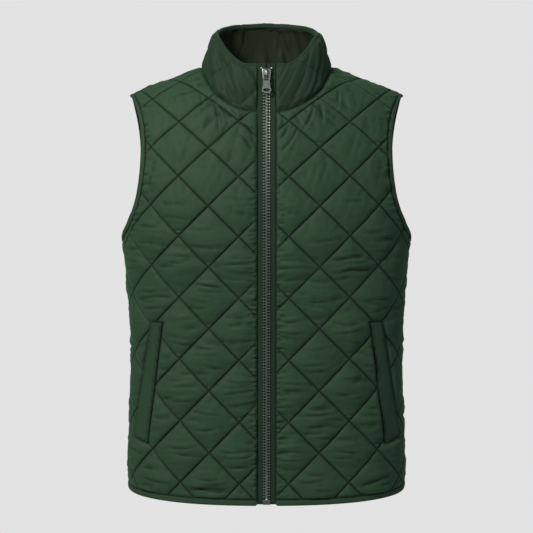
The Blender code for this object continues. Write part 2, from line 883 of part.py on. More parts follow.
def arc_points(x, up, radius_x, radius_up, first, last, count):
    points = []
    for turn in np.radians(np.linspace(first, last, count)):
        points.append(Vector((x + radius_x * math.cos(turn), up + radius_up * math.sin(turn))))
    return points


def slider_body(material):
    corner = SLIDER_CORNER
    low = SLIDER_BOTTOM + corner
    half = arc_points(SLIDER_SHOULDER - corner, SLIDER_TOP - corner, corner, corner, 90, 0, 4)
    half += [Vector((SLIDER_WAIST + SLIDER_NOTCH, SLIDER_NOTCH_UP)), Vector((SLIDER_WAIST, low))]
    half += arc_points(SLIDER_WAIST - corner, low, corner, corner, -30, -90, 3)
    outline = half + mirrored(half)[::-1]
    body = plate("zip_slider", [outline[::-1]], SLIDER_BACK, SLIDER_FRONT, material)
    mesh_data = bmesh.new()
    rims = []
    for x in (-BRIDGE_HALF, BRIDGE_HALF):
        rim = [slider_place(x, up * MM, SLIDER_FRONT + out * MM) for up, out in BRIDGE_SIDE_MM]
        rims.append([mesh_data.verts.new(point) for point in rim])
    mesh_data.faces.new(rims[0])
    mesh_data.faces.new(rims[1][::-1])
    for i in range(len(rims[0])):
        j = (i + 1) % len(rims[0])
        mesh_data.faces.new((rims[0][i], rims[1][i], rims[1][j], rims[0][j]))
    bridge = add_object("bridge_form", mesh_data, material)
    bridge.hide_render = True
    bridge.display_type = "WIRE"
    join = body.modifiers.new("bridge", "BOOLEAN")
    join.operation = "UNION"
    join.solver = "EXACT"
    join.object = bridge
    return body


def pull_tab(material):
    """The pull tab lies along the zip below the slider; its upper bar is the hinge."""
    bar = PULL_THICK / 2
    bar_half, bar_up = PULL_BAR
    foot_half, foot_up = PULL_FOOT
    side = [Vector(point) * MM for point in PULL_SIDE_MM]
    outline = arc_points(0, bar_up, bar_half, bar - bar_up, 150, 30, 5) + side
    outline += arc_points(0, foot_up, foot_half, PULL_REACH + foot_up, 10, -190, 11)
    outline += mirrored(side)[::-1]
    eye = [Vector(point) * MM for point in PULL_EYE_MM]
    hole_half, hole_high, hole_up = PULL_HOLE
    hole = arc_points(0, hole_up, hole_half, hole_high, 0, 324, 10)
    loops = [outline[::-1], eye, hole]
    middle = SLIDER_FRONT + HINGE_OUT
    return plate("zip_pull", loops, middle - bar, middle + bar, material)


def zip_box(material):
    """The block at the foot of the zip that the lowest teeth run into."""
    section = box_section(-BOX_HALF, BOX_HALF, CHAIN_BACK, CHAIN_BACK + BOX)
    return zip_strip("zip_box", ZIP_BOTTOM_Z, BOX_TOP_Z, section, material)


def build():
    for item in list(bpy.data.objects):
        bpy.data.objects.remove(item, do_unlink=True)
    shell = finish("shell", srgb(52, 74, 55), 0.55)
    binding = finish("binding", srgb(44, 62, 46), 0.6)
    lining = finish("lining", srgb(48, 58, 40), 0.7)
    tape = finish("tape", srgb(36, 52, 40), 0.8)
    metal = finish("metal", srgb(105, 110, 105), 0.35, 1.0)

    front = half_outline(FRONT, TAPE_EDGE)
    back_half = half_outline(BACK, 0)
    back = back_half + mirrored(back_half)[::-1][1:-1]
    panel("front_left", FRONT, front, LEFT_DIAMONDS, [welt_outline(1)], shell)
    panel("front_right", FRONT, mirrored(front), RIGHT_DIAMONDS, [welt_outline(-1)], shell)
    panel("back", BACK, back, BACK_DIAMONDS, [], shell)
    collar_outer(shell)
    collar_lining(lining)
    armhole_binding("armhole_binding_left", 1, binding)
    armhole_binding("armhole_binding_right", -1, binding)
    hem_binding(binding)
    pocket_welt("pocket_welt_left", 1, shell)
    pocket_welt("pocket_welt_right", -1, shell)

    zip_tape("zip_tape_left", 1, tape)
    zip_tape("zip_tape_right", -1, tape)
    chain_top = SLIDER_Z + SLIDER_BOTTOM - CHAIN_END
    chain_section = box_section(-CHAIN_HALF, CHAIN_HALF, CHAIN_BACK, CHAIN_BACK + CHAIN)
    zip_strip("zip_chain", BOX_TOP_Z + GAP, chain_top, chain_section, metal)
    zip_box(metal)
    slider_body(metal)
    pull_tab(metal)


build()
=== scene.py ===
import math
import time

import bmesh
import bpy
import numpy as np
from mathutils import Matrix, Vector
from mathutils.geometry import delaunay_2d_cdt


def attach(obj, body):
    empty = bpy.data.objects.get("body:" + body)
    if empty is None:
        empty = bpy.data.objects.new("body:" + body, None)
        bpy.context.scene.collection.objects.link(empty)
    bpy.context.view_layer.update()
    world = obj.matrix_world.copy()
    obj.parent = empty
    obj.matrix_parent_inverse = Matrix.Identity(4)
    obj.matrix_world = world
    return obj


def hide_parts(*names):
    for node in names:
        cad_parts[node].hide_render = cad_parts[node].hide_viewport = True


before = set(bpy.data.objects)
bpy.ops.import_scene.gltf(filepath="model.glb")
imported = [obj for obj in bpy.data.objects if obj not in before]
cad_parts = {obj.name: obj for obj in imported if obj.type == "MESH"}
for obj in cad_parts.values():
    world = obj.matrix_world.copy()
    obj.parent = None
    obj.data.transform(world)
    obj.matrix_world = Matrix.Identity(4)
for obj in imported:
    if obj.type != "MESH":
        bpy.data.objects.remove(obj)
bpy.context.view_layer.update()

# The garment's form, in metres: +X is the wearer's left, -Y the front
mm = 0.001
front = -1
back = 1

form = {
    "levels": (          # height, then half width, front depth and back depth, in mm
        (-640, 205, 104, 106),
        (-600, 207, 106, 107),
        (-520, 204, 109, 108),
        (-430, 201, 112, 108),
        (-350, 204, 116, 111),
        (-257, 212, 121, 117),
        (-235, 213, 121, 118),
    ),
    "squareness": 2.5,       # 2 is an ellipse
    "archZ": -235 * mm,      # the cloth leans in to the shoulders above this
    "hemZ": -640 * mm,
    "hemRise": 7 * mm,
    "neckPointX": 91 * mm,
    "shoulderTipX": 201 * mm,
    "shoulderSlope": 0.365,
    "shoulderInside": 4 * mm,
    "wall": 2.2 * mm,
    "armhole": (         # height, distance from the middle in front and behind, in mm
        (-256, 213, 213),
        (-252, 212, 212.3),
        (-243, 209, 210.5),
        (-230, 202.5, 207),
        (-215, 196, 201),
        (-194, 189, 195.5),
        (-170, 184.5, 192.5),
        (-147, 182, 190.5),
        (-123, 181.2, 190),
        (-100, 182, 191.5),
        (-80, 185, 194),
        (-64, 190, 197),
        (-53, 195.5, 199),
        (-45, 201, 201),
    ),
    "frontNeck": (       # distance from the middle, height, in mm
        (0, -67),
        (24, -65),
        (38, -61),
        (53, -54.5),
        (65, -47),
        (75, -38),
        (82, -27.5),
        (87, -17),
        (90, -8.5),
        (91, -4),
    ),
    "backNeckZ": -11 * mm,
    "zipEdge": 13.4 * mm,        # the panels stop this far from the middle, at the edge of the zip's tape
    "bindingWidth": 9.6 * mm,
    "underBinding": 1.2 * mm,    # the panels run this far under a binding
}


# Tables and lines

def tableOf(rows, keyScale=mm):
    keys = np.array([row[0] for row in rows], float) * keyScale
    values = np.array([row[1:] for row in rows], float) * mm
    return keys, values, np.gradient(values, keys, axis=0)


def readTable(table, key):
    keys, values, slopes = table
    key = np.clip(np.asarray(key, float), keys[0], keys[-1])
    i = np.minimum(np.searchsorted(keys, key, side="right") - 1, len(keys) - 2)
    span = (keys[i + 1] - keys[i])[..., None]
    t = (key - keys[i])[..., None] / span
    start = values[i] * (1 + 2 * t) * (1 - t) ** 2 + slopes[i] * span * t * (1 - t) ** 2
    end = values[i + 1] * t * t * (3 - 2 * t) - slopes[i + 1] * span * t * t * (1 - t)
    return start + end


levelTable = tableOf(form["levels"])
armholeTable = tableOf(form["armhole"])
frontNeckTable = tableOf(form["frontNeck"])


def runningLength(*axes):
    steps = np.sqrt(sum(np.diff(axis, axis=-1) ** 2 for axis in axes))
    lengths = np.cumsum(steps, axis=-1)
    return np.concatenate([np.zeros(lengths.shape[:-1] + (1,)), lengths], axis=-1)


# Each row of values read at its own length
def rowAlong(lengths, values, wanted):
    i = np.clip((lengths < wanted[:, None]).sum(1), 1, lengths.shape[1] - 1)
    rows = np.arange(len(wanted))
    low = lengths[rows, i - 1]
    t = np.clip((wanted - low) / np.maximum(lengths[rows, i] - low, 1e-12), 0, 1)
    return values[rows, i - 1] * (1 - t) + values[rows, i] * t


quarter = np.linspace(0, math.pi / 2, 241)
ringX = np.sin(quarter) ** (2 / form["squareness"])
ringY = np.maximum(np.cos(quarter), 0) ** (2 / form["squareness"])


def ringOf(side, z):
    level = readTable(levelTable, np.minimum(z, form["archZ"]))
    x = level[:, :1] * ringX
    y = level[:, 1:2] * ringY if side == front else level[:, 2:] * ringY
    return runningLength(x, y), x, y


def quarterLength(side, z):
    return ringOf(side, np.atleast_1d(np.asarray(z, float)))[0][:, -1]


# Height of the shoulder line, carried smoothly across the neck
def ridgeHeight(x):
    point, slope = form["neckPointX"], form["shoulderSlope"]
    inner = slope * (point ** 2 - x ** 2) / (2 * point)
    return np.where(np.abs(x) > point, -slope * (np.abs(x) - point), inner) - form["shoulderInside"]


def archOf(x, depth):
    y = depth[:, None] * np.cos(quarter)
    z = (ridgeHeight(x) - form["archZ"])[:, None] * np.sin(quarter)
    return runningLength(y, z), y, z + form["archZ"]


# Where flat points of a body panel come to lie, on the inside of the cloth
def torsoPoints(side, across, up):
    result = np.empty((len(across), 3))
    for start in range(0, len(across), 6000):
        part = slice(start, start + 6000)
        a, z = across[part], up[part].copy()
        lengths, xs, ys = ringOf(side, z)
        x = rowAlong(lengths, xs, np.abs(a))
        y = rowAlong(lengths, ys, np.abs(a))
        high = z > form["archZ"]
        if high.any():
            arc, arcY, arcZ = archOf(x[high], y[high])
            run = z[high] - form["archZ"]
            y[high] = rowAlong(arc, arcY, run)
            z[high] = rowAlong(arc, arcZ, run)
        result[part] = np.stack([np.copysign(x, a), side * y, z], 1)
    return result


# Places on the inside of the cloth, and their directions outwards
def torsoSeats(side, across, up):
    across, up = np.asarray(across, float), np.asarray(up, float)
    length = quarterLength(side, up)
    step = 2 * mm
    low = torsoPoints(side, np.maximum(across - step, -length), up)
    high = torsoPoints(side, np.minimum(across + step, length), up)
    under = torsoPoints(side, across, up - step)
    over = torsoPoints(side, across, up)
    out = np.cross(high - low, over - under) * -side
    return over, out / np.linalg.norm(out, axis=1)[:, None]


# Places raised this high over the inside of the cloth, and their directions outwards
def raisedPlaces(side, points, heights):
    places, out = torsoSeats(side, points[:, 0], points[:, 1])
    return places + out * heights[:, None], out


# The flat places of the cloth that comes to lie at x and z
def flatPoints(side, x, z):
    x, z = np.atleast_1d(x).astype(float), np.atleast_1d(z).astype(float)
    flat = []
    for one, height in zip(x, z):
        lengths, xs, ys = (row[0] for row in ringOf(side, np.array([height])))
        across = np.interp(abs(one), xs, lengths)
        up = height
        if height > form["archZ"]:
            arc, _, arcZ = archOf(np.array([abs(one)]), np.array([np.interp(abs(one), xs, ys)]))
            up = form["archZ"] + np.interp(height, arcZ[0], arc[0])
        flat.append((math.copysign(across, one), up))
    return np.array(flat)


def ridgeUp(side, across):
    across = np.atleast_1d(np.asarray(across, float))
    lengths, xs, ys = ringOf(side, np.full(len(across), form["archZ"]))
    x = rowAlong(lengths, xs, np.abs(across))
    y = rowAlong(lengths, ys, np.abs(across))
    return form["archZ"] + archOf(x, y)[0][:, -1]


# The same line with its points at an even spacing
def evenLine(points, spacing, closed=False):
    points = np.asarray(points, float)
    if closed:
        points = np.vstack([points, points[:1]])
    lengths = runningLength(*points.T)
    count = max(1, round(lengths[-1] / spacing))
    wanted = np.linspace(0, lengths[-1], count + 1)
    line = np.stack([np.interp(wanted, lengths, axis) for axis in points.T], 1)
    return line[:-1] if closed else line


def softTurn(values, rounds):
    values = np.array(values, float)
    for _ in range(rounds):
        values[1:-1] = (values[:-2] + 2 * values[1:-1] + values[2:]) / 4
    return values


def lineRuns(line):
    runs = np.gradient(line, axis=0)
    return runs / np.linalg.norm(runs, axis=1)[:, None]


# Outlines of the flat panels

def hemUp(side, across):
    share = np.minimum(np.abs(across) / quarterLength(side, form["hemZ"])[0], 1)
    return form["hemZ"] + form["hemRise"] * share ** 2.2


# The armhole on the wearer's left, from the side seam up to the shoulder
def armholeLine(side, inset, spacing=4 * mm):
    rows = form["armhole"]
    heights = np.linspace(rows[0][0], rows[-1][0], 60) * mm
    line = flatPoints(side, readTable(armholeTable, heights)[:, 0 if side == front else 1], heights)
    line[0, 0] = quarterLength(side, line[0, 1])[0]
    line = evenLine(line, spacing)
    runs = lineRuns(line)
    line = line + np.stack([-runs[:, 1], runs[:, 0]], 1) * inset
    low = rows[0][0] * mm - inset
    line[0] = quarterLength(side, low)[0], low
    tip = form["shoulderTipX"] - inset / math.hypot(1, form["shoulderSlope"])
    line[-1] = flatPoints(side, tip, float(ridgeHeight(tip)))[0]
    return line


# The neck seam from the middle to the neck point, wearer's left
def neckLine(side):
    x = np.linspace(0, form["neckPointX"], 60)
    if side == front:
        return flatPoints(front, x, readTable(frontNeckTable, x)[:, 0])
    share = (x / form["neckPointX"]) ** 2.5
    line = flatPoints(back, x, form["backNeckZ"] * (1 - share) - form["shoulderInside"] * share)
    line[-1, 1] = ridgeUp(back, line[-1, 0])[0]
    return line


# Neck, shoulder, armhole, side seam and hem of a panel, from its middle edge round
def halfOutline(side, middle, spacing=4 * mm):
    neck = neckLine(side)
    runs = lineRuns(neck)
    upright = torsoSeats(side, neck[:, 0], neck[:, 1])[1][:, 2]
    neck = neck + np.stack([runs[:, 1], -runs[:, 0]], 1) * (2.4 * mm * np.maximum(upright, 0))[:, None]
    firstNeck = np.interp(middle, neck[:, 0], neck[:, 1])
    neck = evenLine(np.vstack([[(middle, firstNeck)], neck[neck[:, 0] > middle + mm]]), spacing)
    lift = form["bindingWidth"] - form["underBinding"]
    hole = armholeLine(side, lift)[::-1]
    neck[-1, 1] = ridgeUp(side, neck[-1, 0])[0]
    shoulderX = np.linspace(neck[-1, 0], hole[0, 0], 28)[1:-1]
    shoulder = np.stack([shoulderX, ridgeUp(side, shoulderX)], 1)
    seamUp = np.linspace(hole[-1, 1], form["hemZ"] + form["hemRise"] + lift, 96)[1:]
    seam = np.stack([quarterLength(side, seamUp), seamUp], 1)
    hemAcross = np.linspace(seam[-1, 0], middle, round((seam[-1, 0] - middle) / spacing))[1:]
    hem = np.stack([hemAcross, hemUp(side, hemAcross) + lift], 1)
    outline = [neck, shoulder, hole, seam, hem]
    if side == front:
        outline.append(evenLine([hem[-1], (middle, firstNeck)], 2.5 * mm)[1:-1])
    return np.vstack(outline)


# A flat line or outline seen in a mirror, running the other way
def mirrored(points):
    return (points * (-1, 1))[::-1]


def edgeDistance(points, loop, closed=True):
    ends = np.asarray(loop)
    runs = np.roll(ends, -1, axis=0) - ends
    if not closed:
        ends, runs = ends[:-1], runs[:-1]
    size = np.maximum((runs * runs).sum(1), 1e-14)
    nearest = np.full(len(points), 1e9)
    for end, run, whole in zip(ends, runs, size):
        away = points - end
        share = np.clip(away @ run / whole, 0, 1)
        away -= share[:, None] * run
        np.minimum(nearest, (away * away).sum(1), out=nearest)
    return np.sqrt(nearest)


def insideLoop(points, loop):
    inside = np.zeros(len(points), bool)
    loop = np.asarray(loop)
    for one, other in zip(loop, np.roll(loop, -1, axis=0)):
        if one[1] == other[1]:
            continue
        level = (one[1] > points[:, 1]) != (other[1] > points[:, 1])
        cross = one[0] + (points[:, 1] - one[1]) * (other[0] - one[0]) / (other[1] - one[1])
        inside ^= level & (cross > points[:, 0])
    return inside


# Uneven cloth

def ease(value):
    value = np.clip(value, 0, 1)
    return value * value * (3 - 2 * value)


# A smooth random height between -1 and 1, one bump for each unit of x and y
def softNoise(x, y, seed):
    table = np.random.default_rng(seed).uniform(-1, 1, (128, 128))
    x, y = np.broadcast_arrays(np.asarray(x, float), np.asarray(y, float))
    i, j = np.floor(x).astype(int), np.floor(y).astype(int)
    u, v = ease(x - i), ease(y - j)
    i, j = i % 128, j % 128
    nextI, nextJ = (i + 1) % 128, (j + 1) % 128
    low = table[i, j] * (1 - u) + table[nextI, j] * u
    high = table[i, nextJ] * (1 - u) + table[nextI, nextJ] * u
    return low * (1 - v) + high * v


def bell(value, width):
    return np.exp(-(value / width) ** 2)


quilting = {
    "leftColumns": (32 * mm, 88.5 * mm),      # first crossing from the middle, width of a diamond
    "rightColumns": (-39.5 * mm, 87 * mm),
    "backColumns": (0 * mm, 88 * mm),
    "firstRowZ": -607 * mm,
    "rowPitch": 92.1 * mm,
    "rowClosing": 0.0183 * mm,
    "lineSpacing": 63.8 * mm,                 # between two parallel lines of stitches
    "steps": 27,                              # mesh cells along a diamond's side
    "besideLines": (0.8 * mm, 2.1 * mm),      # mesh lines either side of a line of stitches
    "puff": 6.2 * mm,
    "chestPuff": 0.46,                        # share of the puff that is left over the chest
    "edgePress": 6.5 * mm,                    # the padding is squeezed out this far from a seam
    "zipPress": 2.6 * mm,                     # and this far beside the zip, where it is thinner
    "zipPuff": 0.5,                           # share of the puff left there
    "zipReach": 24 * mm,
    "sidePuff": 0.35,                         # share left at the side seams
    "sideFrom": 0.68,                         # it fades from this share of the way to the seam
    "sideFade": 0.26,                         # over this much more of it
    "ridgePuff": 0.3,                         # and over the shoulders
    "shoulderStitch": 5 * mm,                 # second line of stitches, in front of the shoulder seam
}

lattice = {
    "one": (-6, 14),        # numbers of the stitch lines that lean one way
    "other": (-14, 8),      # and the other way
    "rows": (-1, 9),
    "reach": 0.36,          # no cloth lies further across than this, in metres
}

rowNumbers = np.linspace(*lattice["rows"], 400)
rowHeights = quilting["firstRowZ"] + quilting["rowPitch"] * rowNumbers
rowHeights -= quilting["rowClosing"] * rowNumbers ** 4


# The two families of stitch lines lie where these are whole numbers
def quiltCoordinates(points, columns):
    column = (points[:, 0] - columns[0]) / columns[1]
    row = np.interp(points[:, 1], rowHeights, rowNumbers)
    return column + row, column - row


# Distance from the nearest stitch line
def stitchDistance(one, other, spacing):
    return np.minimum(np.abs(one - np.round(one)), np.abs(other - np.round(other))) * spacing


# Points of either hand as if on the wearer's left
def leftward(points):
    return np.stack([np.abs(points[:, 0]), points[:, 1]], 1)


# 0 across the middle of a panel and 1 near its side seam
def sideShare(side, points):
    across = np.abs(points[:, 0]) / quarterLength(side, points[:, 1])
    return ease((across - quilting["sideFrom"]) / quilting["sideFade"])


# Flat points on the stitch lines and between them, closer together beside the lines if crisp
def quiltLattice(columns, steps, crisp):
    shares = np.arange(steps) / steps
    if crisp:
        near = np.array(quilting["besideLines"]) / quilting["lineSpacing"]
        between = np.linspace(near[-1], 1 - near[-1], steps)[1:-1]
        shares = np.concatenate([[0], near, between, 1 - near[::-1]])
    one = (np.arange(*lattice["one"])[:, None] + shares).ravel()
    other = (np.arange(*lattice["other"])[:, None] + shares).ravel()
    one, other = (values.ravel() / 2 for values in np.meshgrid(one, other))
    across = columns[0] + columns[1] * (one + other)
    row = one - other
    first, last = lattice["rows"]
    kept = (row > first) & (row < last) & (np.abs(across) < lattice["reach"])
    return np.stack([across[kept], np.interp(row[kept], rowNumbers, rowHeights)], 1)


wrinkles = {
    "puckerDepth": 0.85 * mm,       # small creases square to the stitch lines
    "puckerReach": 9 * mm,
    "sag": 0.12,                   # the padding is fuller towards the foot of each diamond
    "foldDepth": 3.6 * mm,         # soft level folds across the lower diamonds
    "foldTop": -150 * mm,          # they start below this, and are full at foldFull
    "foldFull": -290 * mm,
    "creaseDepth": 1.5 * mm,       # sharper short creases among them
    "streakDepth": 1.2 * mm,      # faint upright streaks over the chest
    "nodeDepth": 1.4 * mm,         # curved pucker above each crossing
    "unevenness": 0.5 * mm,
    "tuckDepth": 2 * mm,           # where a panel is eased on to a seam
    "zipTucks": 4 * mm,
    "armPitch": 4.5 * mm,
    "zipPitch": 3.1 * mm,
    "tuckReach": 13 * mm,          # the mesh is closer this far from those seams
    "tuckSpacing": 1.1 * mm,
    "strainDepth": 3.2 * mm,       # drag lines down from the neck seam
    "furrowRounds": 4,
    "furrowFull": 0.8 * mm,        # a furrow this deep is painted about as dark as a seam
    "dragLines": (                 # single folds: from x and z, to x and z, depth and width, in mm
        (-77, -53, -62, -90, 3.6, 1.7),
        (-75, -56, -68, -98, 2.6, 1.6),
        (-72, -60, -42, -84, 2.4, 1.7),
        (-30, -86, -17, -112, 3, 1.7),
        (-38, -101, -18, -128, 2.4, 2),
        (-98, -37, -92, -66, 2, 2),
        (-52, -66, -40, -78, 2, 1.5),
        (74, -54, 78, -86, 2.6, 2),
        (66, -64, 49, -96, 3, 1.8),
        (31, -85, 18, -108, 3, 1.8),
        (44, -92, 20, -124, 2.4, 2),
        (102, -40, 97, -70, 2.2, 2),
    ),
}


# 0 where the chest begins and 1 where the level folds are full
def lowShare(up):
    return ease((wrinkles["foldTop"] - up) / (wrinkles["foldTop"] - wrinkles["foldFull"]))


# Padding between the stitch lines, with the small creases that the stitches draw in
def cushionHeights(one, other, spacing, puff, seed):
    ridge = np.abs(np.sin(math.pi * one) * np.sin(math.pi * other))
    cell = softNoise(np.floor(one) * 3.7, np.floor(other) * 5.3, seed)
    lean = (one - np.floor(one)) - (other - np.floor(other))
    shape = 0.55 * ridge ** 0.35 + 0.45 * ridge ** 0.85
    height = puff * (1 + 0.16 * cell) * (1 - wrinkles["sag"] * lean) * shape
    for number, (lineSide, lineAlong) in enumerate(((one, other), (other, one))):
        away = np.abs(lineSide - np.round(lineSide)) * spacing
        track = np.round(lineSide) * 17 + (lineSide > np.round(lineSide)) * 7.5
        length = lineAlong * spacing
        fine = softNoise(length / (5.5 * mm), track, seed + 3 + number)
        broad = softNoise(length / (13 * mm), track + 3, seed + 5 + number)
        reach = wrinkles["puckerReach"] * (1 + 0.5 * broad)
        rise = 1 - np.exp(-away / (1.6 * mm))
        height += wrinkles["puckerDepth"] * (fine + 0.7 * broad) * rise * np.exp(-away / reach)
    return height


# Soft level folds in the lower diamonds, upright streaks in the upper ones
def levelFolds(points, one, other, seed):
    x, up = points[:, 0], points[:, 1]
    middle = np.abs(np.sin(math.pi * one) * np.sin(math.pi * other)) ** 0.55
    low = lowShare(up)
    drift = 5 * mm * softNoise(x / (46 * mm), up / (60 * mm), seed)
    drift += 2 * mm * softNoise(x / (17 * mm), up / (21 * mm), seed + 1)
    waves = softNoise(x / (36 * mm), (up + drift) / (9.5 * mm), seed + 2)
    waves += 0.3 * softNoise(x / (22 * mm), (up + drift) / (4.8 * mm), seed + 3)
    folds = waves - 0.5 * waves ** 2
    strength = 0.65 + 0.5 * softNoise(x / (70 * mm), up / (55 * mm), seed + 4)
    streaks = softNoise((x + 0.22 * up) / (9 * mm), up / (44 * mm), seed + 5)
    streaks += 0.6 * softNoise((x - 0.3 * up) / (6 * mm), up / (26 * mm), seed + 6)
    lift = wrinkles["foldDepth"] * folds * strength * low
    return middle * (lift + wrinkles["streakDepth"] * streaks * (1 - 0.7 * low))


# Drag lines that fan out from the neck seam and fade down the chest
def neckStrain(points, seed):
    centre = np.array([0, 10 * mm])
    away = points - centre
    distance = np.hypot(away[:, 0], away[:, 1])
    turn = np.arctan2(away[:, 0], -away[:, 1])
    fan = softNoise(turn * 11, distance / (70 * mm), seed)
    fan += 0.6 * softNoise(turn * 23, distance / (40 * mm), seed + 1)
    fade = ease((distance - 82 * mm) / (12 * mm)) * np.exp(-np.maximum(distance - 95 * mm, 0) / (34 * mm))
    return wrinkles["strainDepth"] * (fan - 0.4 * fan ** 2) * fade


# How far each point lies below the cloth round it, from 0 to 1, used as painted shade in the furrows
def furrowShade(piece, heights):
    count = len(heights)
    edges = np.empty(len(piece.data.edges) * 2, int)
    piece.data.edges.foreach_get("vertices", edges)
    edges = edges.reshape(-1, 2)
    edges = edges[(edges < count).all(1)]
    both = np.vstack([edges, edges[:, ::-1]])
    near = np.maximum(np.bincount(both[:, 0], minlength=count), 1)
    level = heights
    for _ in range(wrinkles["furrowRounds"]):
        level = np.bincount(both[:, 0], level[both[:, 1]], count) / near
    return 1 - np.exp(-np.maximum(level - heights, 0) / wrinkles["furrowFull"])


# Single folds, each a furrow with a soft roll beside it
def dragFolds(points):
    height = np.zeros(len(points))
    for x0, z0, x1, z1, depth, width in wrinkles["dragLines"]:
        ends = flatPoints(front, (abs(x0) * mm, abs(x1) * mm), (z0 * mm, z1 * mm)) * (math.copysign(1, x0), 1)
        run = ends[1] - ends[0]
        length = np.linalg.norm(run)
        run = run / length
        away = points - ends[0]
        along = away @ run / length
        bend = 2.2 * mm * np.sin(math.pi * np.clip(along, 0, 1))
        aside = away @ np.array((-run[1], run[0])) - bend
        fade = ease((along + 0.15) / 0.3) * ease((1.12 - along) / 0.6)
        width *= mm * (0.75 + 0.5 * along)
        height -= depth * mm * fade * (bell(aside, width) - 0.55 * bell(aside - 1.9 * width, 1.5 * width))
    return height


# Short level creases inside the lower diamonds
def addCreases(points, one, other, columns, height, seed):
    chance = np.random.default_rng(seed)
    cells = np.stack([np.floor(one), np.floor(other)], 1).astype(int)
    ids, member = np.unique(cells, axis=0, return_inverse=True)
    member = member.ravel()
    for number, (a, b) in enumerate(ids):
        inside = np.nonzero(member == number)[0]
        level = np.interp((a - b) / 2, rowNumbers, rowHeights)
        middle = np.array([columns[0] + columns[1] * (a + b + 1) / 2, level])
        away = points[inside] - middle
        lower = 0.15 + 0.85 * lowShare(middle[1])
        for _ in range(3):
            x0 = chance.uniform(-12, 12) * mm
            z0 = chance.uniform(-24, 20) * mm
            tilt = chance.uniform(-0.16, 0.16)
            half = chance.uniform(11, 19) * mm
            depth = wrinkles["creaseDepth"] * chance.uniform(0.25, 1) * lower
            x = away[:, 0] - x0
            z = away[:, 1] - z0 - tilt * x - x * x * chance.uniform(-3, 6)
            fade = bell(x, half)
            height[inside] -= depth * fade * (bell(z, 2.0 * mm) - 0.7 * bell(z - 4.2 * mm, 3 * mm))
    return height


def addCrossings(points, columns, height, seed):
    chance = np.random.default_rng(seed)
    for row in range(0, 8):
        for column in range(-5, 6):
            for shift in (0, 0.5):
                centre = np.array([
                    columns[0] + columns[1] * (column + shift),
                    np.interp(row + shift, rowNumbers, rowHeights),
                ])
                size, strength = chance.uniform(6, 9.5) * mm, chance.uniform(0.35, 1)
                away = points - centre
                near = np.nonzero((np.abs(away) < 20 * mm).all(1))[0]
                if not len(near):
                    continue
                near = near[away[near, 1] > 0]
                distance = np.hypot(away[near, 0], away[near, 1])
                upright = away[near, 1] / np.maximum(distance, 1e-9)
                bend = bell(distance - size, 1.3 * mm) - 0.7 * bell(distance - size + 3 * mm, 1.6 * mm)
                height[near] -= wrinkles["nodeDepth"] * strength * bend * ease((upright - 0.55) / 0.35)
    return height


# Meshes

def meshObject(name, vertices, faces, materials, slots=None, smooth=True):
    mesh = bpy.data.meshes.new(name)
    mesh.from_pydata([tuple(v) for v in vertices], [], [tuple(int(i) for i in f) for f in faces])
    for material in materials:
        mesh.materials.append(material)
    if slots is not None:
        mesh.polygons.foreach_set("material_index", np.asarray(slots, np.int32))
    if smooth:
        mesh.shade_smooth()
    mesh.update()
    piece = bpy.data.objects.new(name, mesh)
    bpy.context.collection.objects.link(piece)
    return piece


def facingOut(piece):
    shape = bmesh.new()
    shape.from_mesh(piece.data)
    bmesh.ops.recalc_face_normals(shape, faces=shape.faces)
    shape.to_mesh(piece.data)
    shape.free()
    return piece


# Triangles over a flat outline and the points inside it, all facing one way
def flatTriangles(outline, inside):
    points = np.vstack([outline, inside]) if len(inside) else np.asarray(outline)
    count = len(outline)
    edges = [(i, (i + 1) % count) for i in range(count)]
    vectors = [Vector((x, y)) for x, y in points * 1000]
    _, _, faces, origins, _, _ = delaunay_2d_cdt(vectors, edges, [], 1, 1e-6)
    return points, np.array([[origins[corner][0] for corner in face] for face in faces])


# A closed piece of cloth over a flat outline: outer face, plain inside, and the edge between
def clothWall(name, outline, outerInside, innerInside, outer, inner, materials):
    outerPoints, outerFaces = flatTriangles(outline, outerInside)
    innerPoints, innerFaces = flatTriangles(outline, innerInside)
    vertices = np.vstack([outer(outerPoints), inner(innerPoints)])
    shift = len(outerPoints)
    count = len(outline)
    here = np.arange(count)
    ahead = np.roll(here, -1)
    rim = np.concatenate([
        np.stack([ahead, here, here + shift], 1), np.stack([ahead, here + shift, ahead + shift], 1)])
    faces = np.vstack([outerFaces, innerFaces[:, ::-1] + shift, rim])
    slots = np.concatenate([
        np.zeros(len(outerFaces)), np.ones(len(innerFaces)), np.zeros(len(rim))]).astype(int)
    return facingOut(meshObject(name, vertices, faces, materials, slots))


# Painted shade on each point of a piece's outer face, which its material mixes towards a darker colour
def paintShade(piece, values):
    shade = np.zeros(len(piece.data.vertices))
    shade[:len(values)] = values
    layer = piece.data.attributes.new("paintedShade", "FLOAT", "POINT")
    layer.data.foreach_set("value", shade)


# A section, as points across and out, carried along places
def sweptStrip(name, places, across, out, section, closed, material, taper=None):
    count, sides = len(places), len(section)
    section = np.asarray(section)
    scale = np.ones((count, sides, 2)) if taper is None else taper
    wide = section[None, :, 0] * scale[..., 0]
    high = section[None, :, 1] * scale[..., 1]
    vertices = places[:, None] + across[:, None] * wide[..., None] + out[:, None] * high[..., None]
    faces = []
    for i in range(count if closed else count - 1):
        k = (i + 1) % count
        for j in range(sides):
            n = (j + 1) % sides
            faces.append((i * sides + j, i * sides + n, k * sides + n, k * sides + j))
    if not closed:
        faces += [tuple(range(sides))[::-1], tuple(range((count - 1) * sides, count * sides))]
    return facingOut(meshObject(name, vertices.reshape(-1, 3), faces, [material]))


def ovalSection(width, thick, count, power=0.7):
    turns = 2 * math.pi * (np.arange(count) + 0.5) / count
    wide = np.sign(np.cos(turns)) * np.abs(np.cos(turns)) ** power * width / 2
    high = np.sign(np.sin(turns)) * np.abs(np.sin(turns)) ** power * thick / 2
    return np.stack([wide, high], 1)


# Materials

def linear(red, green, blue):
    return tuple((value / 255) ** 2.2 for value in (red, green, blue)) + (1.0,)


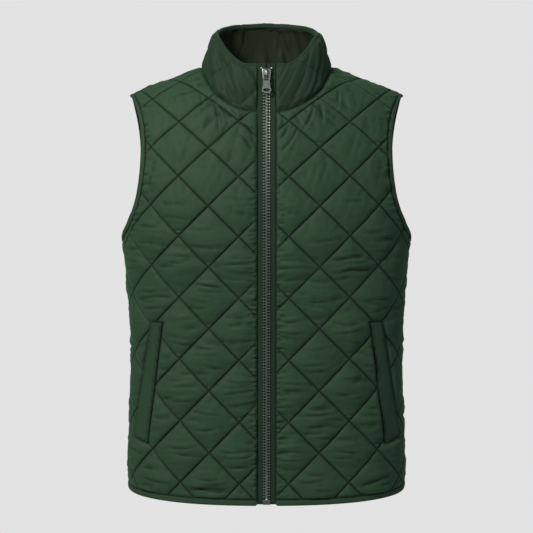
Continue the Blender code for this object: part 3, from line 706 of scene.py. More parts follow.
def newMaterial(name):
    material = bpy.data.materials.new(name)
    material.use_nodes = True
    tree = material.node_tree
    return material, tree, tree.nodes["Principled BSDF"]


def addNode(tree, kind, **values):
    node = tree.nodes.new(kind)
    for key, value in values.items():
        setattr(node, key, value)
    return node


cloth = {
    "shell": (49, 72, 53),
    # The next colour is painted shade on the shell, in its creases, seams and stitch lines
    "shellPaintedShade": (12, 21, 13),
    "lining": (32, 42, 25),
    # And this one is painted shade on the collar's facing, under its rim and in its folds
    "facingPaintedShade": (12, 17, 9),
    "tape": (40, 58, 43),
    "thread": (34, 52, 36),
    "weave": 0.35 * mm,        # between two yarns
    "roughness": 0.68,
}


# Two crossed sets of yarns as a height between 0 and 1
def weaveBump(tree, coordinates, pitch):
    separate = addNode(tree, "ShaderNodeSeparateXYZ")
    tree.links.new(coordinates, separate.inputs[0])
    waves = []
    for axes in (("X", "Y"), ("Z",)):
        total = separate.outputs[axes[0]]
        if len(axes) > 1:
            add = addNode(tree, "ShaderNodeMath", operation="ADD")
            tree.links.new(total, add.inputs[0])
            tree.links.new(separate.outputs[axes[1]], add.inputs[1])
            total = add.outputs[0]
        turn = addNode(tree, "ShaderNodeMath", operation="MULTIPLY")
        turn.inputs[1].default_value = 2 * math.pi / pitch
        tree.links.new(total, turn.inputs[0])
        wave = addNode(tree, "ShaderNodeMath", operation="SINE")
        tree.links.new(turn.outputs[0], wave.inputs[0])
        waves.append(wave.outputs[0])
    both = addNode(tree, "ShaderNodeMath", operation="MULTIPLY")
    tree.links.new(waves[0], both.inputs[0])
    tree.links.new(waves[1], both.inputs[1])
    return both.outputs[0]


def fabricMaterial(name, colour, paintedShadeColour=None, roughness=0.5, sheen=0.25,
                   weave=None, grain=60, bump=0.12):
    material, tree, shader = newMaterial(name)
    place = addNode(tree, "ShaderNodeTexCoord").outputs["Object"]
    broad = addNode(tree, "ShaderNodeTexNoise")
    broad.inputs["Scale"].default_value = 14
    broad.inputs["Detail"].default_value = 6
    broad.inputs["Roughness"].default_value = 0.62
    broad.inputs["Distortion"].default_value = 0.6
    fine = addNode(tree, "ShaderNodeTexNoise")
    fine.inputs["Scale"].default_value = grain * 10
    fine.inputs["Detail"].default_value = 3
    for texture in (broad, fine):
        tree.links.new(place, texture.inputs["Vector"])
    tones = addNode(tree, "ShaderNodeMix", data_type="RGBA")
    dark = tuple(value * share for value, share in zip(linear(*colour), (0.68, 0.78, 0.82))) + (1,)
    light = tuple(value * share for value, share in zip(linear(*colour), (1.3, 1.2, 1.1))) + (1,)
    tones.inputs["A"].default_value = dark
    tones.inputs["B"].default_value = light
    blend = addNode(tree, "ShaderNodeMath", operation="MULTIPLY_ADD")
    blend.inputs[1].default_value = 0.45
    tree.links.new(fine.outputs["Fac"], blend.inputs[0])
    half = addNode(tree, "ShaderNodeMath", operation="MULTIPLY")
    half.inputs[1].default_value = 0.55
    tree.links.new(broad.outputs["Fac"], half.inputs[0])
    tree.links.new(half.outputs[0], blend.inputs[2])
    tree.links.new(blend.outputs[0], tones.inputs["Factor"])
    colourOut = tones.outputs["Result"]
    # Painted shade: the colour is mixed towards a darker one where a piece carries painted shade
    if paintedShadeColour:
        paintedShade = addNode(tree, "ShaderNodeAttribute", attribute_name="paintedShade")
        deep = addNode(tree, "ShaderNodeMix", data_type="RGBA")
        tree.links.new(paintedShade.outputs["Fac"], deep.inputs["Factor"])
        tree.links.new(colourOut, deep.inputs["A"])
        deep.inputs["B"].default_value = linear(*paintedShadeColour)
        colourOut = deep.outputs["Result"]
    tree.links.new(colourOut, shader.inputs["Base Color"])
    yarns = weaveBump(tree, place, weave or cloth["weave"] * 2)
    height = addNode(tree, "ShaderNodeMath", operation="MULTIPLY_ADD")
    height.inputs[1].default_value = 0.4
    tree.links.new(yarns, height.inputs[0])
    tree.links.new(fine.outputs["Fac"], height.inputs[2])
    relief = addNode(tree, "ShaderNodeBump")
    relief.inputs["Strength"].default_value = bump
    relief.inputs["Distance"].default_value = 0.4 * mm
    tree.links.new(height.outputs[0], relief.inputs["Height"])
    tree.links.new(relief.outputs["Normal"], shader.inputs["Normal"])
    rough = addNode(tree, "ShaderNodeMapRange")
    rough.inputs["To Min"].default_value = roughness - 0.05
    rough.inputs["To Max"].default_value = roughness + 0.07
    tree.links.new(broad.outputs["Fac"], rough.inputs["Value"])
    tree.links.new(rough.outputs["Result"], shader.inputs["Roughness"])
    shader.inputs["Sheen Weight"].default_value = sheen
    shader.inputs["Sheen Roughness"].default_value = 0.45
    shader.inputs["Sheen Tint"].default_value = linear(120, 175, 125)
    shader.inputs["Specular IOR Level"].default_value = 0.2
    return material


def metalMaterial(name, colour, roughness):
    material, tree, shader = newMaterial(name)
    place = addNode(tree, "ShaderNodeTexCoord").outputs["Object"]
    wear = addNode(tree, "ShaderNodeTexNoise")
    wear.inputs["Scale"].default_value = 260
    wear.inputs["Detail"].default_value = 5
    tree.links.new(place, wear.inputs["Vector"])
    tones = addNode(tree, "ShaderNodeMix", data_type="RGBA")
    tones.inputs["A"].default_value = tuple(value * 0.8 for value in linear(*colour)[:3]) + (1,)
    tones.inputs["B"].default_value = tuple(value * 1.15 for value in linear(*colour)[:3]) + (1,)
    tree.links.new(wear.outputs["Fac"], tones.inputs["Factor"])
    tree.links.new(tones.outputs["Result"], shader.inputs["Base Color"])
    rough = addNode(tree, "ShaderNodeMapRange")
    rough.inputs["To Min"].default_value = roughness - 0.06
    rough.inputs["To Max"].default_value = roughness + 0.1
    tree.links.new(wear.outputs["Fac"], rough.inputs["Value"])
    tree.links.new(rough.outputs["Result"], shader.inputs["Roughness"])
    shader.inputs["Metallic"].default_value = 1.0
    return material


metals = {                     # colour, roughness
    "slider": ((150, 156, 148), 0.32),
    "teeth": ((196, 202, 190), 0.3),
    "pull": ((120, 126, 120), 0.5),
}

shellCloth = fabricMaterial("shell cloth", cloth["shell"], cloth["shellPaintedShade"], cloth["roughness"])
trimCloth = fabricMaterial("trim cloth", cloth["shell"], cloth["shellPaintedShade"], 0.66, 0.2)
liningCloth = fabricMaterial("lining cloth", cloth["lining"], None, 0.6, 0.15)
facingCloth = fabricMaterial("facing cloth", cloth["lining"], cloth["facingPaintedShade"], 0.6, 0.15)
tapeCloth = fabricMaterial("tape weave", cloth["tape"], None, 0.75, 0.1, weave=1.3 * mm, bump=0.6)
threadCord = fabricMaterial("thread", cloth["thread"], None, 0.5, 0.2, weave=0.5 * mm, grain=90, bump=0.3)
gunMetal = metalMaterial("slider metal", *metals["slider"])
toothMetal = metalMaterial("tooth metal", *metals["teeth"])
brightMetal = metalMaterial("pull metal", *metals["pull"])
print("materials", len(bpy.data.materials))


# Cloth simulation: the outer cloth is cut longer than the space it is stitched into, and buckles

settle = {
    "steps": 12,             # mesh cells along a diamond's side while the cloth settles
    "spareUp": 0.07,         # spare cloth, as a share of the height below the chest
    "spareHigh": 0.02,       # and above it
    "chestZ": -250 * mm,
    "spareAcross": 0.015,
    "pressure": 40,
    "mass": 0.002,
    "quality": 5,
    "stiffness": 4,
    "damping": 5,
    "airDamping": 2,
    "bending": 30,
    "frames": 26,
    "drawn": 12,             # steps over which the cloth is drawn up to its stitch lines
    "cap": 4 * mm,           # no point moves further than this
}


# The same points as the cloth was cut, with its spare length
def spareCloth(points):
    low = form["hemZ"]
    up = points[:, 2] - low
    high = settle["chestZ"] - low
    lower, upper = settle["spareUp"], settle["spareHigh"]
    longer = np.where(up < high, up * (1 + lower), high * (1 + lower) + (up - high) * (1 + upper))
    wider = 1 + settle["spareAcross"]
    return np.stack([points[:, 0] * wider, points[:, 1] * wider, low + longer], 1)


# The start shape after the cloth, cut with its spare length, finds its own folds
def settled(start, faces, held):
    piece = meshObject("settling", spareCloth(start), faces, [])
    piece.vertex_groups.new(name="held").add([int(i) for i in held], 1.0, "REPLACE")
    piece.shape_key_add(name="cut")
    now = piece.shape_key_add(name="now")
    now.data.foreach_set("co", start.ravel())
    modifier = piece.modifiers.new("cloth", "CLOTH")
    rules = modifier.settings
    rules.vertex_group_mass = "held"
    rules.quality = settle["quality"]
    rules.mass = settle["mass"]
    rules.bending_stiffness = settle["bending"]
    for way in ("tension", "compression", "shear"):
        setattr(rules, way + "_stiffness", settle["stiffness"])
        setattr(rules, way + "_damping", settle["damping"])
    rules.air_damping = settle["airDamping"]
    rules.use_pressure = True
    rules.uniform_pressure_force = settle["pressure"]
    rules.effector_weights.gravity = 0
    modifier.collision_settings.use_collision = False
    modifier.point_cache.frame_start = 1
    modifier.point_cache.frame_end = settle["frames"]
    for number in range(1, settle["frames"] + 1):
        now.value = min((number - 1) / settle["drawn"], 1)
        bpy.context.scene.frame_set(number)
    shape = piece.evaluated_get(bpy.context.evaluated_depsgraph_get()).to_mesh()
    found = np.empty(len(start) * 3)
    shape.vertices.foreach_get("co", found)
    bpy.context.scene.frame_set(1)
    bpy.data.objects.remove(piece, do_unlink=True)
    return found.reshape(-1, 3)


# How far each lattice point of the quilting moves out when the padded cloth settles
def settledLift(side, outline, columns, sign, seed):
    steps = settle["steps"]
    loose = quiltLattice(columns, steps, False)
    loose = loose[insideLoop(loose, outline)]
    loose = loose[edgeDistance(loose, outline) > 2 * mm]
    points, faces = flatTriangles(outline, loose)
    heights, _ = panelHeights(side, points, columns, outline, sign, seed)
    start, out = raisedPlaces(side, points, heights)
    one, other = quiltCoordinates(points, columns)
    away = stitchDistance(one, other, quilting["lineSpacing"])
    held = (away < 0.3 * mm) | (edgeDistance(points, outline) < 2 * mm)
    if sign:
        held |= insideLoop(points, weltOutline(sign))
    moved = ((settled(start, faces, np.nonzero(held)[0]) - start) * out).sum(1)
    moved = settle["cap"] * np.tanh(moved / settle["cap"])
    least, most = np.round(np.percentile(moved[~held], (5, 95)) / mm, 2)
    print("  settled", len(points), "points, most of them moved", least, "to", most, "mm")
    firstOne, firstOther = lattice["one"][0], lattice["other"][0]
    lift = np.zeros(((lattice["one"][1] - firstOne) * steps, (lattice["other"][1] - firstOther) * steps))
    inside = slice(len(outline), None)
    i = np.round(one[inside] * steps).astype(int) - firstOne * steps
    j = np.round(other[inside] * steps).astype(int) - firstOther * steps
    lift[i, j] = moved[inside]
    return lift


# The settled lattice read smoothly between its points
def readLift(lift, one, other):
    steps = settle["steps"]
    u, v = one * steps - lattice["one"][0] * steps, other * steps - lattice["other"][0] * steps
    i, j = np.floor(u).astype(int), np.floor(v).astype(int)
    shares = []
    for t in (u - i, v - j):
        shares.append((
            (1 - t) ** 3 / 6, (3 * t ** 3 - 6 * t ** 2 + 4) / 6,
            (-3 * t ** 3 + 3 * t ** 2 + 3 * t + 1) / 6, t ** 3 / 6))
    height = np.zeros(len(one))
    for a, share in enumerate(shares[0]):
        row = np.clip(i + a - 1, 0, lift.shape[0] - 1)
        for b, otherShare in enumerate(shares[1]):
            column = np.clip(j + b - 1, 0, lift.shape[1] - 1)
            height += share * otherShare * lift[row, column]
    return height


# Quilted body panels

welt = {
    "topInner": (149 * mm, -371 * mm),
    "topOuter": (165.5 * mm, -371 * mm),
    "bottomInner": (172 * mm, -554 * mm),
    "bottomOuter": (193.5 * mm, -547 * mm),
    "lift": 0.6 * mm,
    "thick": 3.4 * mm,
    "stitchIn": 3.4 * mm,    # edge stitching, in from the edge
}


def weltOutline(sign, grow=0.0, spacing=3 * mm):
    corners = [welt[key] for key in ("topInner", "topOuter", "bottomOuter", "bottomInner")]
    flat = flatPoints(front, [x for x, _ in corners], [z for _, z in corners])
    centre = flat.mean(0)
    if grow:
        away = flat - centre
        flat = centre + away * (1 + grow / np.abs(away).max(0))
    loop = evenLine(flat, spacing, closed=True)
    return loop if sign > 0 else mirrored(loop)


shoulderLines = {}
for side in (front, back):
    across = np.linspace(neckLine(side)[-1, 0], armholeLine(side, form["bindingWidth"])[-1, 0], 24)
    shoulderLines[side] = np.stack([across, ridgeUp(side, across)], 1)


def panelHeights(side, points, columns, outline, sign, seed):
    one, other = quiltCoordinates(points, columns)
    low = lowShare(points[:, 1])
    share = sideShare(side, points) * low
    puff = quilting["puff"] * (quilting["chestPuff"] * (1 - low) + low)
    puff = puff * (1 - (1 - quilting["sidePuff"]) * share)
    fromShoulder = edgeDistance(leftward(points), shoulderLines[side], closed=False)
    puff *= quilting["ridgePuff"] + (1 - quilting["ridgePuff"]) * ease(fromShoulder / (32 * mm))
    if sign:
        fromZip = np.abs(points[:, 0]) - form["zipEdge"]
        puff *= quilting["zipPuff"] + (1 - quilting["zipPuff"]) * ease(fromZip / quilting["zipReach"])
    height = cushionHeights(one, other, quilting["lineSpacing"], puff, seed)
    height += levelFolds(points, one, other, seed + 10)
    height = addCreases(points, one, other, columns, height, seed + 20)
    if side == front:
        height += neckStrain(points, seed + 15) + dragFolds(points)
    height = addCrossings(points, columns, height, seed + 30)
    height *= 1 - 0.4 * share
    uneven = softNoise(points[:, 0] / (21 * mm), points[:, 1] / (34 * mm), seed + 40)
    height += wrinkles["unevenness"] * uneven
    edge = edgeDistance(points, outline)
    press = ease(edge / quilting["edgePress"])
    if sign:
        besideZip = ease((edge - fromZip) / (3 * mm) + 1)
        press = besideZip * ease(edge / quilting["zipPress"]) + (1 - besideZip) * press
    x, up = np.abs(points[:, 0]), points[:, 1]
    pitch = wrinkles["armPitch"]
    atArm = ease((x - 150 * mm) / (10 * mm)) * ease((up + 262 * mm) / (8 * mm))
    atHem = ease((-600 * mm - up) / (8 * mm))
    tucks = 2 * atArm * softNoise(up / pitch, x / (20 * mm), seed + 45)
    tucks += 0.7 * atHem * softNoise(x / pitch, up / (20 * mm), seed + 46)
    height += wrinkles["tuckDepth"] * tucks * np.exp(-edge / (9 * mm)) * ease(edge / (2 * mm))
    if sign:
        pocket = weltOutline(sign)
        gap = np.where(insideLoop(points, pocket), 0, edgeDistance(points, pocket))
        press *= ease(gap / quilting["edgePress"])
        pitch = wrinkles["zipPitch"]
        drift = points[:, 1] + 1.5 * mm * softNoise(points[:, 1] / (19 * mm), fromZip / (9 * mm), seed + 52)
        tucks = softNoise(drift / pitch, fromZip / (11 * mm), seed + 50)
        fade = np.exp(-fromZip / (7 * mm)) * ease(fromZip / (1.2 * mm))
        lower = ease((-120 * mm - points[:, 1]) / (90 * mm)) * 0.75 + 0.25
        height += wrinkles["zipTucks"] * tucks * fade * lower
    # Painted shade along the stitch lines, the seams, the pocket's edge and the shoulder stitching
    stitched = stitchDistance(one, other, quilting["lineSpacing"])
    paintedShade = bell(stitched, 1.1 * mm) * ease(edge / (3 * mm))
    paintedShade = np.maximum(paintedShade, 0.8 * bell(edge, 1.8 * mm))
    if sign:
        paintedShade = np.maximum(paintedShade, 0.9 * bell(gap, 1.6 * mm))
    height = form["wall"] + np.maximum(height, -0.6 * mm) * press
    seam = fromShoulder - quilting["shoulderStitch"]
    height -= 1.2 * mm * bell(seam, 1.5 * mm) * ease((height - form["wall"]) / (2 * mm))
    paintedShade = np.maximum(paintedShade, 0.7 * bell(seam, 1 * mm))
    return height, paintedShade


stitching = {
    "pitch": 3.6 * mm,
    "gap": 1 * mm,
    "radius": 0.24 * mm,
    "sides": 4,
    "fromEdge": 2 * mm,
}


# Thread in short dashes: rows of flat points, four to a dash, and a function that seats them
def stitchDashes(name, rows, seats):
    turns = 2 * math.pi * np.arange(stitching["sides"]) / stitching["sides"]
    sides = stitching["sides"]
    places, out = seats(rows.reshape(-1, 2))
    places, out = places.reshape(-1, 4, 3), out.reshape(-1, 4, 3)
    run = places[:, -1:] - places[:, :1]
    run = run / np.linalg.norm(run, axis=2, keepdims=True)
    aside = np.cross(out, run)
    radius = stitching["radius"]
    dip = np.array((-1.1, 0.7, 0.7, -1.1)) * radius
    centres = places + out * dip[None, :, None]
    circle = aside[:, :, None] * np.cos(turns)[None, None, :, None]
    circle = circle + out[:, :, None] * np.sin(turns)[None, None, :, None]
    rings = centres[:, :, None] + radius * circle
    faces = []
    for ring in range(3):
        for k in range(sides):
            n = (k + 1) % sides
            faces.append((ring * sides + k, ring * sides + n, (ring + 1) * sides + n, (ring + 1) * sides + k))
    faces += [tuple(range(sides))[::-1], tuple(range(3 * sides, 4 * sides))]
    shifts = np.arange(len(rings)) * 4 * sides
    allFaces = [tuple(corner + shift for corner in face) for shift in shifts for face in faces]
    return meshObject(name, rings.reshape(-1, 3), allFaces, [threadCord])


# Four points of each stitch along a flat line
def dashRows(line):
    lengths = runningLength(*line.T)
    starts = np.arange(stitching["pitch"] / 2, lengths[-1] - stitching["pitch"], stitching["pitch"])
    size = stitching["pitch"] - stitching["gap"]
    spots = starts[:, None] + size * np.array((0, 0.25, 0.75, 1))
    return np.stack([np.interp(spots, lengths, line[:, 0]), np.interp(spots, lengths, line[:, 1])], 2)


def quiltingThread(name, side, outline, columns, sign, seed):
    rows = []
    for number in range(-16, 17):
        for lean in (1, -1):
            across = columns[0] + columns[1] * (number - lean * rowNumbers)
            line = np.stack([across, rowHeights], 1)
            line = line[np.abs(across) < lattice["reach"]]
            if len(line) > 2:
                rows.append(dashRows(line))
    rows = np.vstack(rows)
    flat = rows.reshape(-1, 2)
    kept = insideLoop(flat, outline) & (edgeDistance(flat, outline) > stitching["fromEdge"])
    if sign:
        pocket = weltOutline(sign)
        kept &= ~insideLoop(flat, pocket)
    rows = rows[kept.reshape(-1, 4).all(1)]

    def seats(points):
        heights, _ = panelHeights(side, points, columns, outline, sign, seed)
        return raisedPlaces(side, points, heights)

    return stitchDashes(name, rows, seats)


# The size of the rectangle round a flat outline, and its own area
def cutOf(outline):
    x, y = np.asarray(outline).T
    area = abs((x * np.roll(y, -1) - y * np.roll(x, -1)).sum()) / 2
    return (float(np.ptp(x)), float(np.ptp(y))), float(area)


# Whether points lie where a panel is eased on to the zip or an armhole
def gathered(points, side, sign):
    reach = wrinkles["tuckReach"]
    near = (np.abs(points[:, 0]) < form["zipEdge"] + reach) & bool(sign)
    hole = armholeLine(side, form["bindingWidth"])
    return near | (edgeDistance(leftward(points), hole, closed=False) < reach)


def gatherPoints(side, sign):
    reach, spacing = wrinkles["tuckReach"], wrinkles["tuckSpacing"]
    insets = np.arange(spacing, reach, spacing)
    parts = []
    for hand in ((sign,) if sign else (1, -1)):
        for inset in insets:
            parts.append(armholeLine(side, form["bindingWidth"] + inset, spacing) * (hand, 1))
        if sign:
            across, up = np.meshgrid(form["zipEdge"] + insets, np.arange(form["hemZ"], -40 * mm, spacing))
            parts.append(np.stack([hand * across.ravel(), up.ravel()], 1))
    return np.vstack(parts)


def bodyPanel(name, side, outline, columns, sign, seed):
    steps = quilting["steps"]
    fine = quiltLattice(columns, steps, True)
    fine = np.vstack([fine[~gathered(fine, side, sign)], gatherPoints(side, sign)])
    fine = fine[insideLoop(fine, outline)]
    fine = fine[edgeDistance(fine, outline) > 0.9 * mm]
    coarse = quiltLattice(columns, 6, False)
    coarse = coarse[insideLoop(coarse, outline)]
    coarse = coarse[edgeDistance(coarse, outline) > 5 * mm]
    began = time.time()
    raised = []
    lift = settledLift(side, outline, columns, sign, seed)
    shade = []

    def outer(points):
        heights, paintedShade = panelHeights(side, points, columns, outline, sign, seed)
        if lift is not None:
            one, other = quiltCoordinates(points, columns)
            away = stitchDistance(one, other, quilting["lineSpacing"])
            rise = 1 - np.exp(-away / (1.5 * mm))
            rise *= ease(edgeDistance(points, outline) / (5 * mm))
            rise *= 1 - 0.75 * sideShare(side, points)
            rise *= 0.55 + 0.45 * lowShare(points[:, 1])
            fromShoulder = edgeDistance(leftward(points), shoulderLines[side], closed=False)
            rise *= 0.15 + 0.85 * ease(fromShoulder / (36 * mm))
            if sign:
                rise *= ~insideLoop(points, weltOutline(sign))
            heights += readLift(lift, one, other) * rise
        shade.append(paintedShade)
        raised.append(heights)
        return raisedPlaces(side, points, heights)[0]

    def inner(points):
        return torsoSeats(side, points[:, 0], points[:, 1])[0]

    piece = clothWall(name, outline, fine, coarse, outer, inner, [shellCloth, liningCloth])
    print(name, len(piece.data.vertices), "points", round(time.time() - began, 1), "s")
    # Painted shade from the seams and stitch lines, and in the furrows of the wrinkles
    paintShade(piece, np.maximum(shade[0], 0.8 * furrowShade(piece, raised[0])))
    return piece


frontOutline = halfOutline(front, form["zipEdge"])
backHalf = halfOutline(back, 0)
backOutline = np.vstack([backHalf, mirrored(backHalf)[1:-1]])
for name, side, outline, columns, sign, seed in (
    ("front_left", front, frontOutline, "leftColumns", 1, 11),
    ("front_right", front, mirrored(frontOutline), "rightColumns", -1, 211),
    ("back", back, backOutline, "backColumns", 0, 411),
):
    piece = bodyPanel("quilted_" + name, side, outline, quilting[columns], sign, seed)
    thread = quiltingThread("quilting_thread_" + name, side, outline, quilting[columns], sign, seed)
    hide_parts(name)
    for part in (piece, thread):
        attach(part, "vest")
    flat, area = cutOf(outline)


# Collar

collar = {
    "top": (             # degrees round from the front, height in mm
        (0, 4),
        (26, 4.5),
        (35, 11),
        (44, 19),
        (53, 27),
        (61, 35),
        (70, 41),
        (90, 47.5),
        (110, 53.5),
        (130, 58),
        (180, 63),
    ),
    "halfWidth": 74.5 * mm,
    "frontY": -78 * mm,
    "backY": 50 * mm,
    "bulge": 1.5 * mm,
    "roll": 3.2 * mm,
    "turnIn": 4 * mm,
    "end": 13.9 * mm,        # where it stops beside the zip
    "corner": 4.5 * mm,      # rounding of its top corners there
    "lines": (           # foot of one stitch line on the seam, spacing, lean along the seam for its height
        (-167.4 * mm, 69.8 * mm, -0.885),
        (-238.4 * mm, 67.7 * mm, 0.855),
    ),
    "lineSpacing": 52 * mm,
    "puff": 4.6 * mm,
    "foldDepth": 2.8 * mm,  # soft folds that run up and away from the zip
    "rimDepth": 0.8 * mm,    # crease under the rolled rim
    # painted shade laid evenly over the whole outer collar
    "shade": 0.44,
}

collarTopTable = tableOf(collar["top"], math.radians(1))


# The ring, ended beside the zip
def toZip(ring):
    kept = (ring[:, 0] > collar["end"]) | (ring[:, 1] > 0)
    count = int(np.argmin(kept)) if not kept.all() else len(ring)
    last, after = ring[count - 1], ring[count]
    share = (last[0] - collar["end"]) / (last[0] - after[0])
    return np.vstack([ring[:count], last + (after - last) * share])


def neckRing():
    behind, before = neckLine(back), neckLine(front)
    ring = np.vstack([
        torsoPoints(back, behind[:, 0], behind[:, 1]),
        torsoPoints(front, before[:, 0], before[:, 1])[::-1][1:]])
    return toZip(ring)


def topRing():
    middle = (collar["frontY"] + collar["backY"]) / 2
    reach = (collar["backY"] - collar["frontY"]) / 2
    turns = np.linspace(math.pi, 0, 121)
    height = readTable(collarTopTable, turns)[:, 0] - collar["roll"]
    sideways = np.abs(np.sin(turns)) ** 0.9
    ahead = np.sign(np.cos(turns)) * np.abs(np.cos(turns)) ** 0.9
    return toZip(np.stack([collar["halfWidth"] * sideways, middle - reach * ahead, height], 1))


def readRing(ring, share):
    lengths = runningLength(*ring.T)
    return np.stack([np.interp(share * lengths[-1], lengths, axis) for axis in ring.T], -1)


neckSeam, collarTop = neckRing(), topRing()
collarHalf = float(runningLength(*neckSeam.T)[-1])


# Foot, top and direction outwards, along the neck seam from the middle of the back
def collarFrame(along):
    share = np.minimum(np.abs(along) / collarHalf, 1)
    foot, top = readRing(neckSeam, share), readRing(collarTop, share)
    behind, ahead = np.maximum(share - 0.02, 0), np.minimum(share + 0.02, 1)
    run = readRing(neckSeam, ahead) + readRing(collarTop, ahead)
    run -= readRing(neckSeam, behind) + readRing(collarTop, behind)
    out = np.cross(top - foot, run)
    out /= np.linalg.norm(out, axis=1)[:, None]
    centre = np.array([0, collar["frontY"] + collar["backY"], 0])
    out *= np.where(((foot + top - centre) * out).sum(1) < 0, -1, 1)[:, None]
    mirror = np.where(along < 0, -1.0, 1.0)
    for vectors in (foot, top, out):
        vectors[:, 0] *= mirror
    return foot, top, out


# The top edge runs down in a rounded corner beside the zip
def cornerDrop(along):
    inner = np.clip(1 - (collarHalf - np.abs(along)) / collar["corner"], 0, 1)
    return collar["corner"] * (1 - np.sqrt(1 - 0.9 * inner ** 2))


def collarHeight(along):
    along = np.atleast_1d(np.asarray(along, float))
    foot, top, _ = collarFrame(along)
    return np.linalg.norm(top - foot, axis=1) - cornerDrop(along)


# Points of the collar: up from the seam and over the fold, depth below its outer face
def collarPoints(along, up, depth):
    foot, top, out = collarFrame(along)
    height = np.linalg.norm(top - foot, axis=1)
    rise = (top - foot) / height[:, None]
    height -= cornerDrop(along)
    top = foot + rise * height[:, None]
    roll, wall = collar["roll"], form["wall"]
    bulge = collar["bulge"] * np.sin(math.pi * np.clip(up / height, 0, 1))
    upright = foot + rise * up[:, None] + out * (wall + bulge - depth)[:, None]
    centre = top + out * (wall - roll)
    turn = (up - height) / roll
    radius = roll - depth
    over = centre + (out * np.cos(turn)[:, None] + rise * np.sin(turn)[:, None]) * radius[:, None]
    down = centre - out * radius[:, None] - rise * (up - height - math.pi * roll)[:, None]
    result = np.where((turn <= 0)[:, None], upright, over)
    return np.where((turn > math.pi)[:, None], down, result)


def collarQuilting(along, up):
    return [(along - lean * up - start) / spacing for start, spacing, lean in collar["lines"]]


# Soft folds that run up and away from the zip
def collarFolds(along, up):
    drift = np.abs(along) + 0.85 * up + 5 * mm * softNoise(along / (34 * mm), up / (30 * mm), 625)
    run = (up + 0.9 * along) / (60 * mm)
    folds = softNoise(drift / (13 * mm), 1.6 * run, 626) + 0.45 * softNoise(drift / (6 * mm), run * 2.4, 627)
    strength = 0.65 + 0.6 * softNoise(along / (48 * mm), up / (45 * mm), 628)
    strength *= 0.35 + 0.75 * ease((np.abs(along) / collarHalf - 0.5) / 0.16)
    return collar["foldDepth"] * (folds - 0.4 * folds ** 2) * strength


def gridFaces(rows, columns, shift=0):
    i, j = np.meshgrid(np.arange(rows - 1), np.arange(columns - 1), indexing="ij")
    first = (i * columns + j).ravel() + shift
    return np.stack([first, first + 1, first + 1 + columns, first + columns], 1)


# A closed band of cloth from a grid of outer points and a grid of inner ones
def bandMesh(name, outer, inner, count, material):
    total = len(outer)
    rows = total // count
    border = np.concatenate([
        np.arange(count), np.arange(1, rows) * count + count - 1,
        np.arange(total - 2, total - count - 1, -1), np.arange(rows - 2, 0, -1) * count])
    ahead = np.roll(border, -1)
    rim = np.stack([ahead, border, border + total, ahead + total], 1)
    faces = np.vstack([gridFaces(rows, count), gridFaces(rows, count, total)[:, ::-1], rim])
    return facingOut(meshObject(name, np.vstack([outer, inner]), faces, [material]))


# The outer cloth: up from the neck seam, over the fold and a little way down inside
def collarPiece():
    count = 401
    alongs = np.linspace(-collarHalf, collarHalf, count)
    heights = collarHeight(alongs)
    fold = math.pi * collar["roll"]
    foot = -0.9 * mm - 2 * mm * ease((np.abs(alongs) - collarHalf + 16 * mm) / (10 * mm))
    rows = [heights * share + foot * (1 - share) for share in np.linspace(0, 1, 46)]
    rows += [heights + fold * share for share in np.linspace(0, 1, 11)[1:]]
    rows += [heights + fold + collar["turnIn"] * share for share in (0.5, 1)]
    across, up = np.tile(alongs, len(rows)), np.concatenate(rows)
    level = np.tile(heights, len(rows))
    one, other = collarQuilting(across, up)
    spacing = collar["lineSpacing"]
    fromEnd = collarHalf - np.abs(across)
    press = ease(np.minimum(np.minimum(up, fromEnd + 2 * mm), level + 1 * mm - up) / (8 * mm))
    lift = cushionHeights(one, other, spacing, collar["puff"], 611) * press
    folds = collarFolds(across, up) * ease(up / (3 * mm)) * ease(fromEnd / (4 * mm))
    lift += folds * ease((level + 4 * mm - up) / (5 * mm))
    gather = softNoise(across / (6 * mm), up / (24 * mm), 621)
    gather += 0.6 * softNoise(across / (3.4 * mm), up / (15 * mm), 622)
    reach = bell(up - level - 1 * mm, 8 * mm) * 0.4 * mm + bell(up - 4 * mm, 6 * mm) * 0.6 * mm
    lift += gather * reach * ease(fromEnd / (5 * mm))
    lift -= collar["rimDepth"] * bell(up - level + 0.8 * mm, 1.3 * mm) * ease(fromEnd / (3 * mm))
    outer = collarPoints(across, up, -lift)
    inner = collarPoints(across, up, np.full(len(up), form["wall"]))
    piece = bandMesh("collar_shell", outer, inner, count, shellCloth)
    # Painted shade along the stitch lines, the neck seam and the crease under the rim, and in the furrows
    stitched = stitchDistance(one, other, spacing)
    paintedShade = 0.7 * bell(stitched, 1.3 * mm) * (up < level)
    paintedShade = np.maximum(paintedShade, 0.85 * bell(up, 2.2 * mm))
    paintedShade = np.maximum(paintedShade, 0.4 * bell(up - level + 0.8 * mm, 1 * mm))
    paintedShade = np.maximum(paintedShade, collar["shade"])
    paintShade(piece, np.maximum(paintedShade, 0.7 * furrowShade(piece, lift)))
    return piece


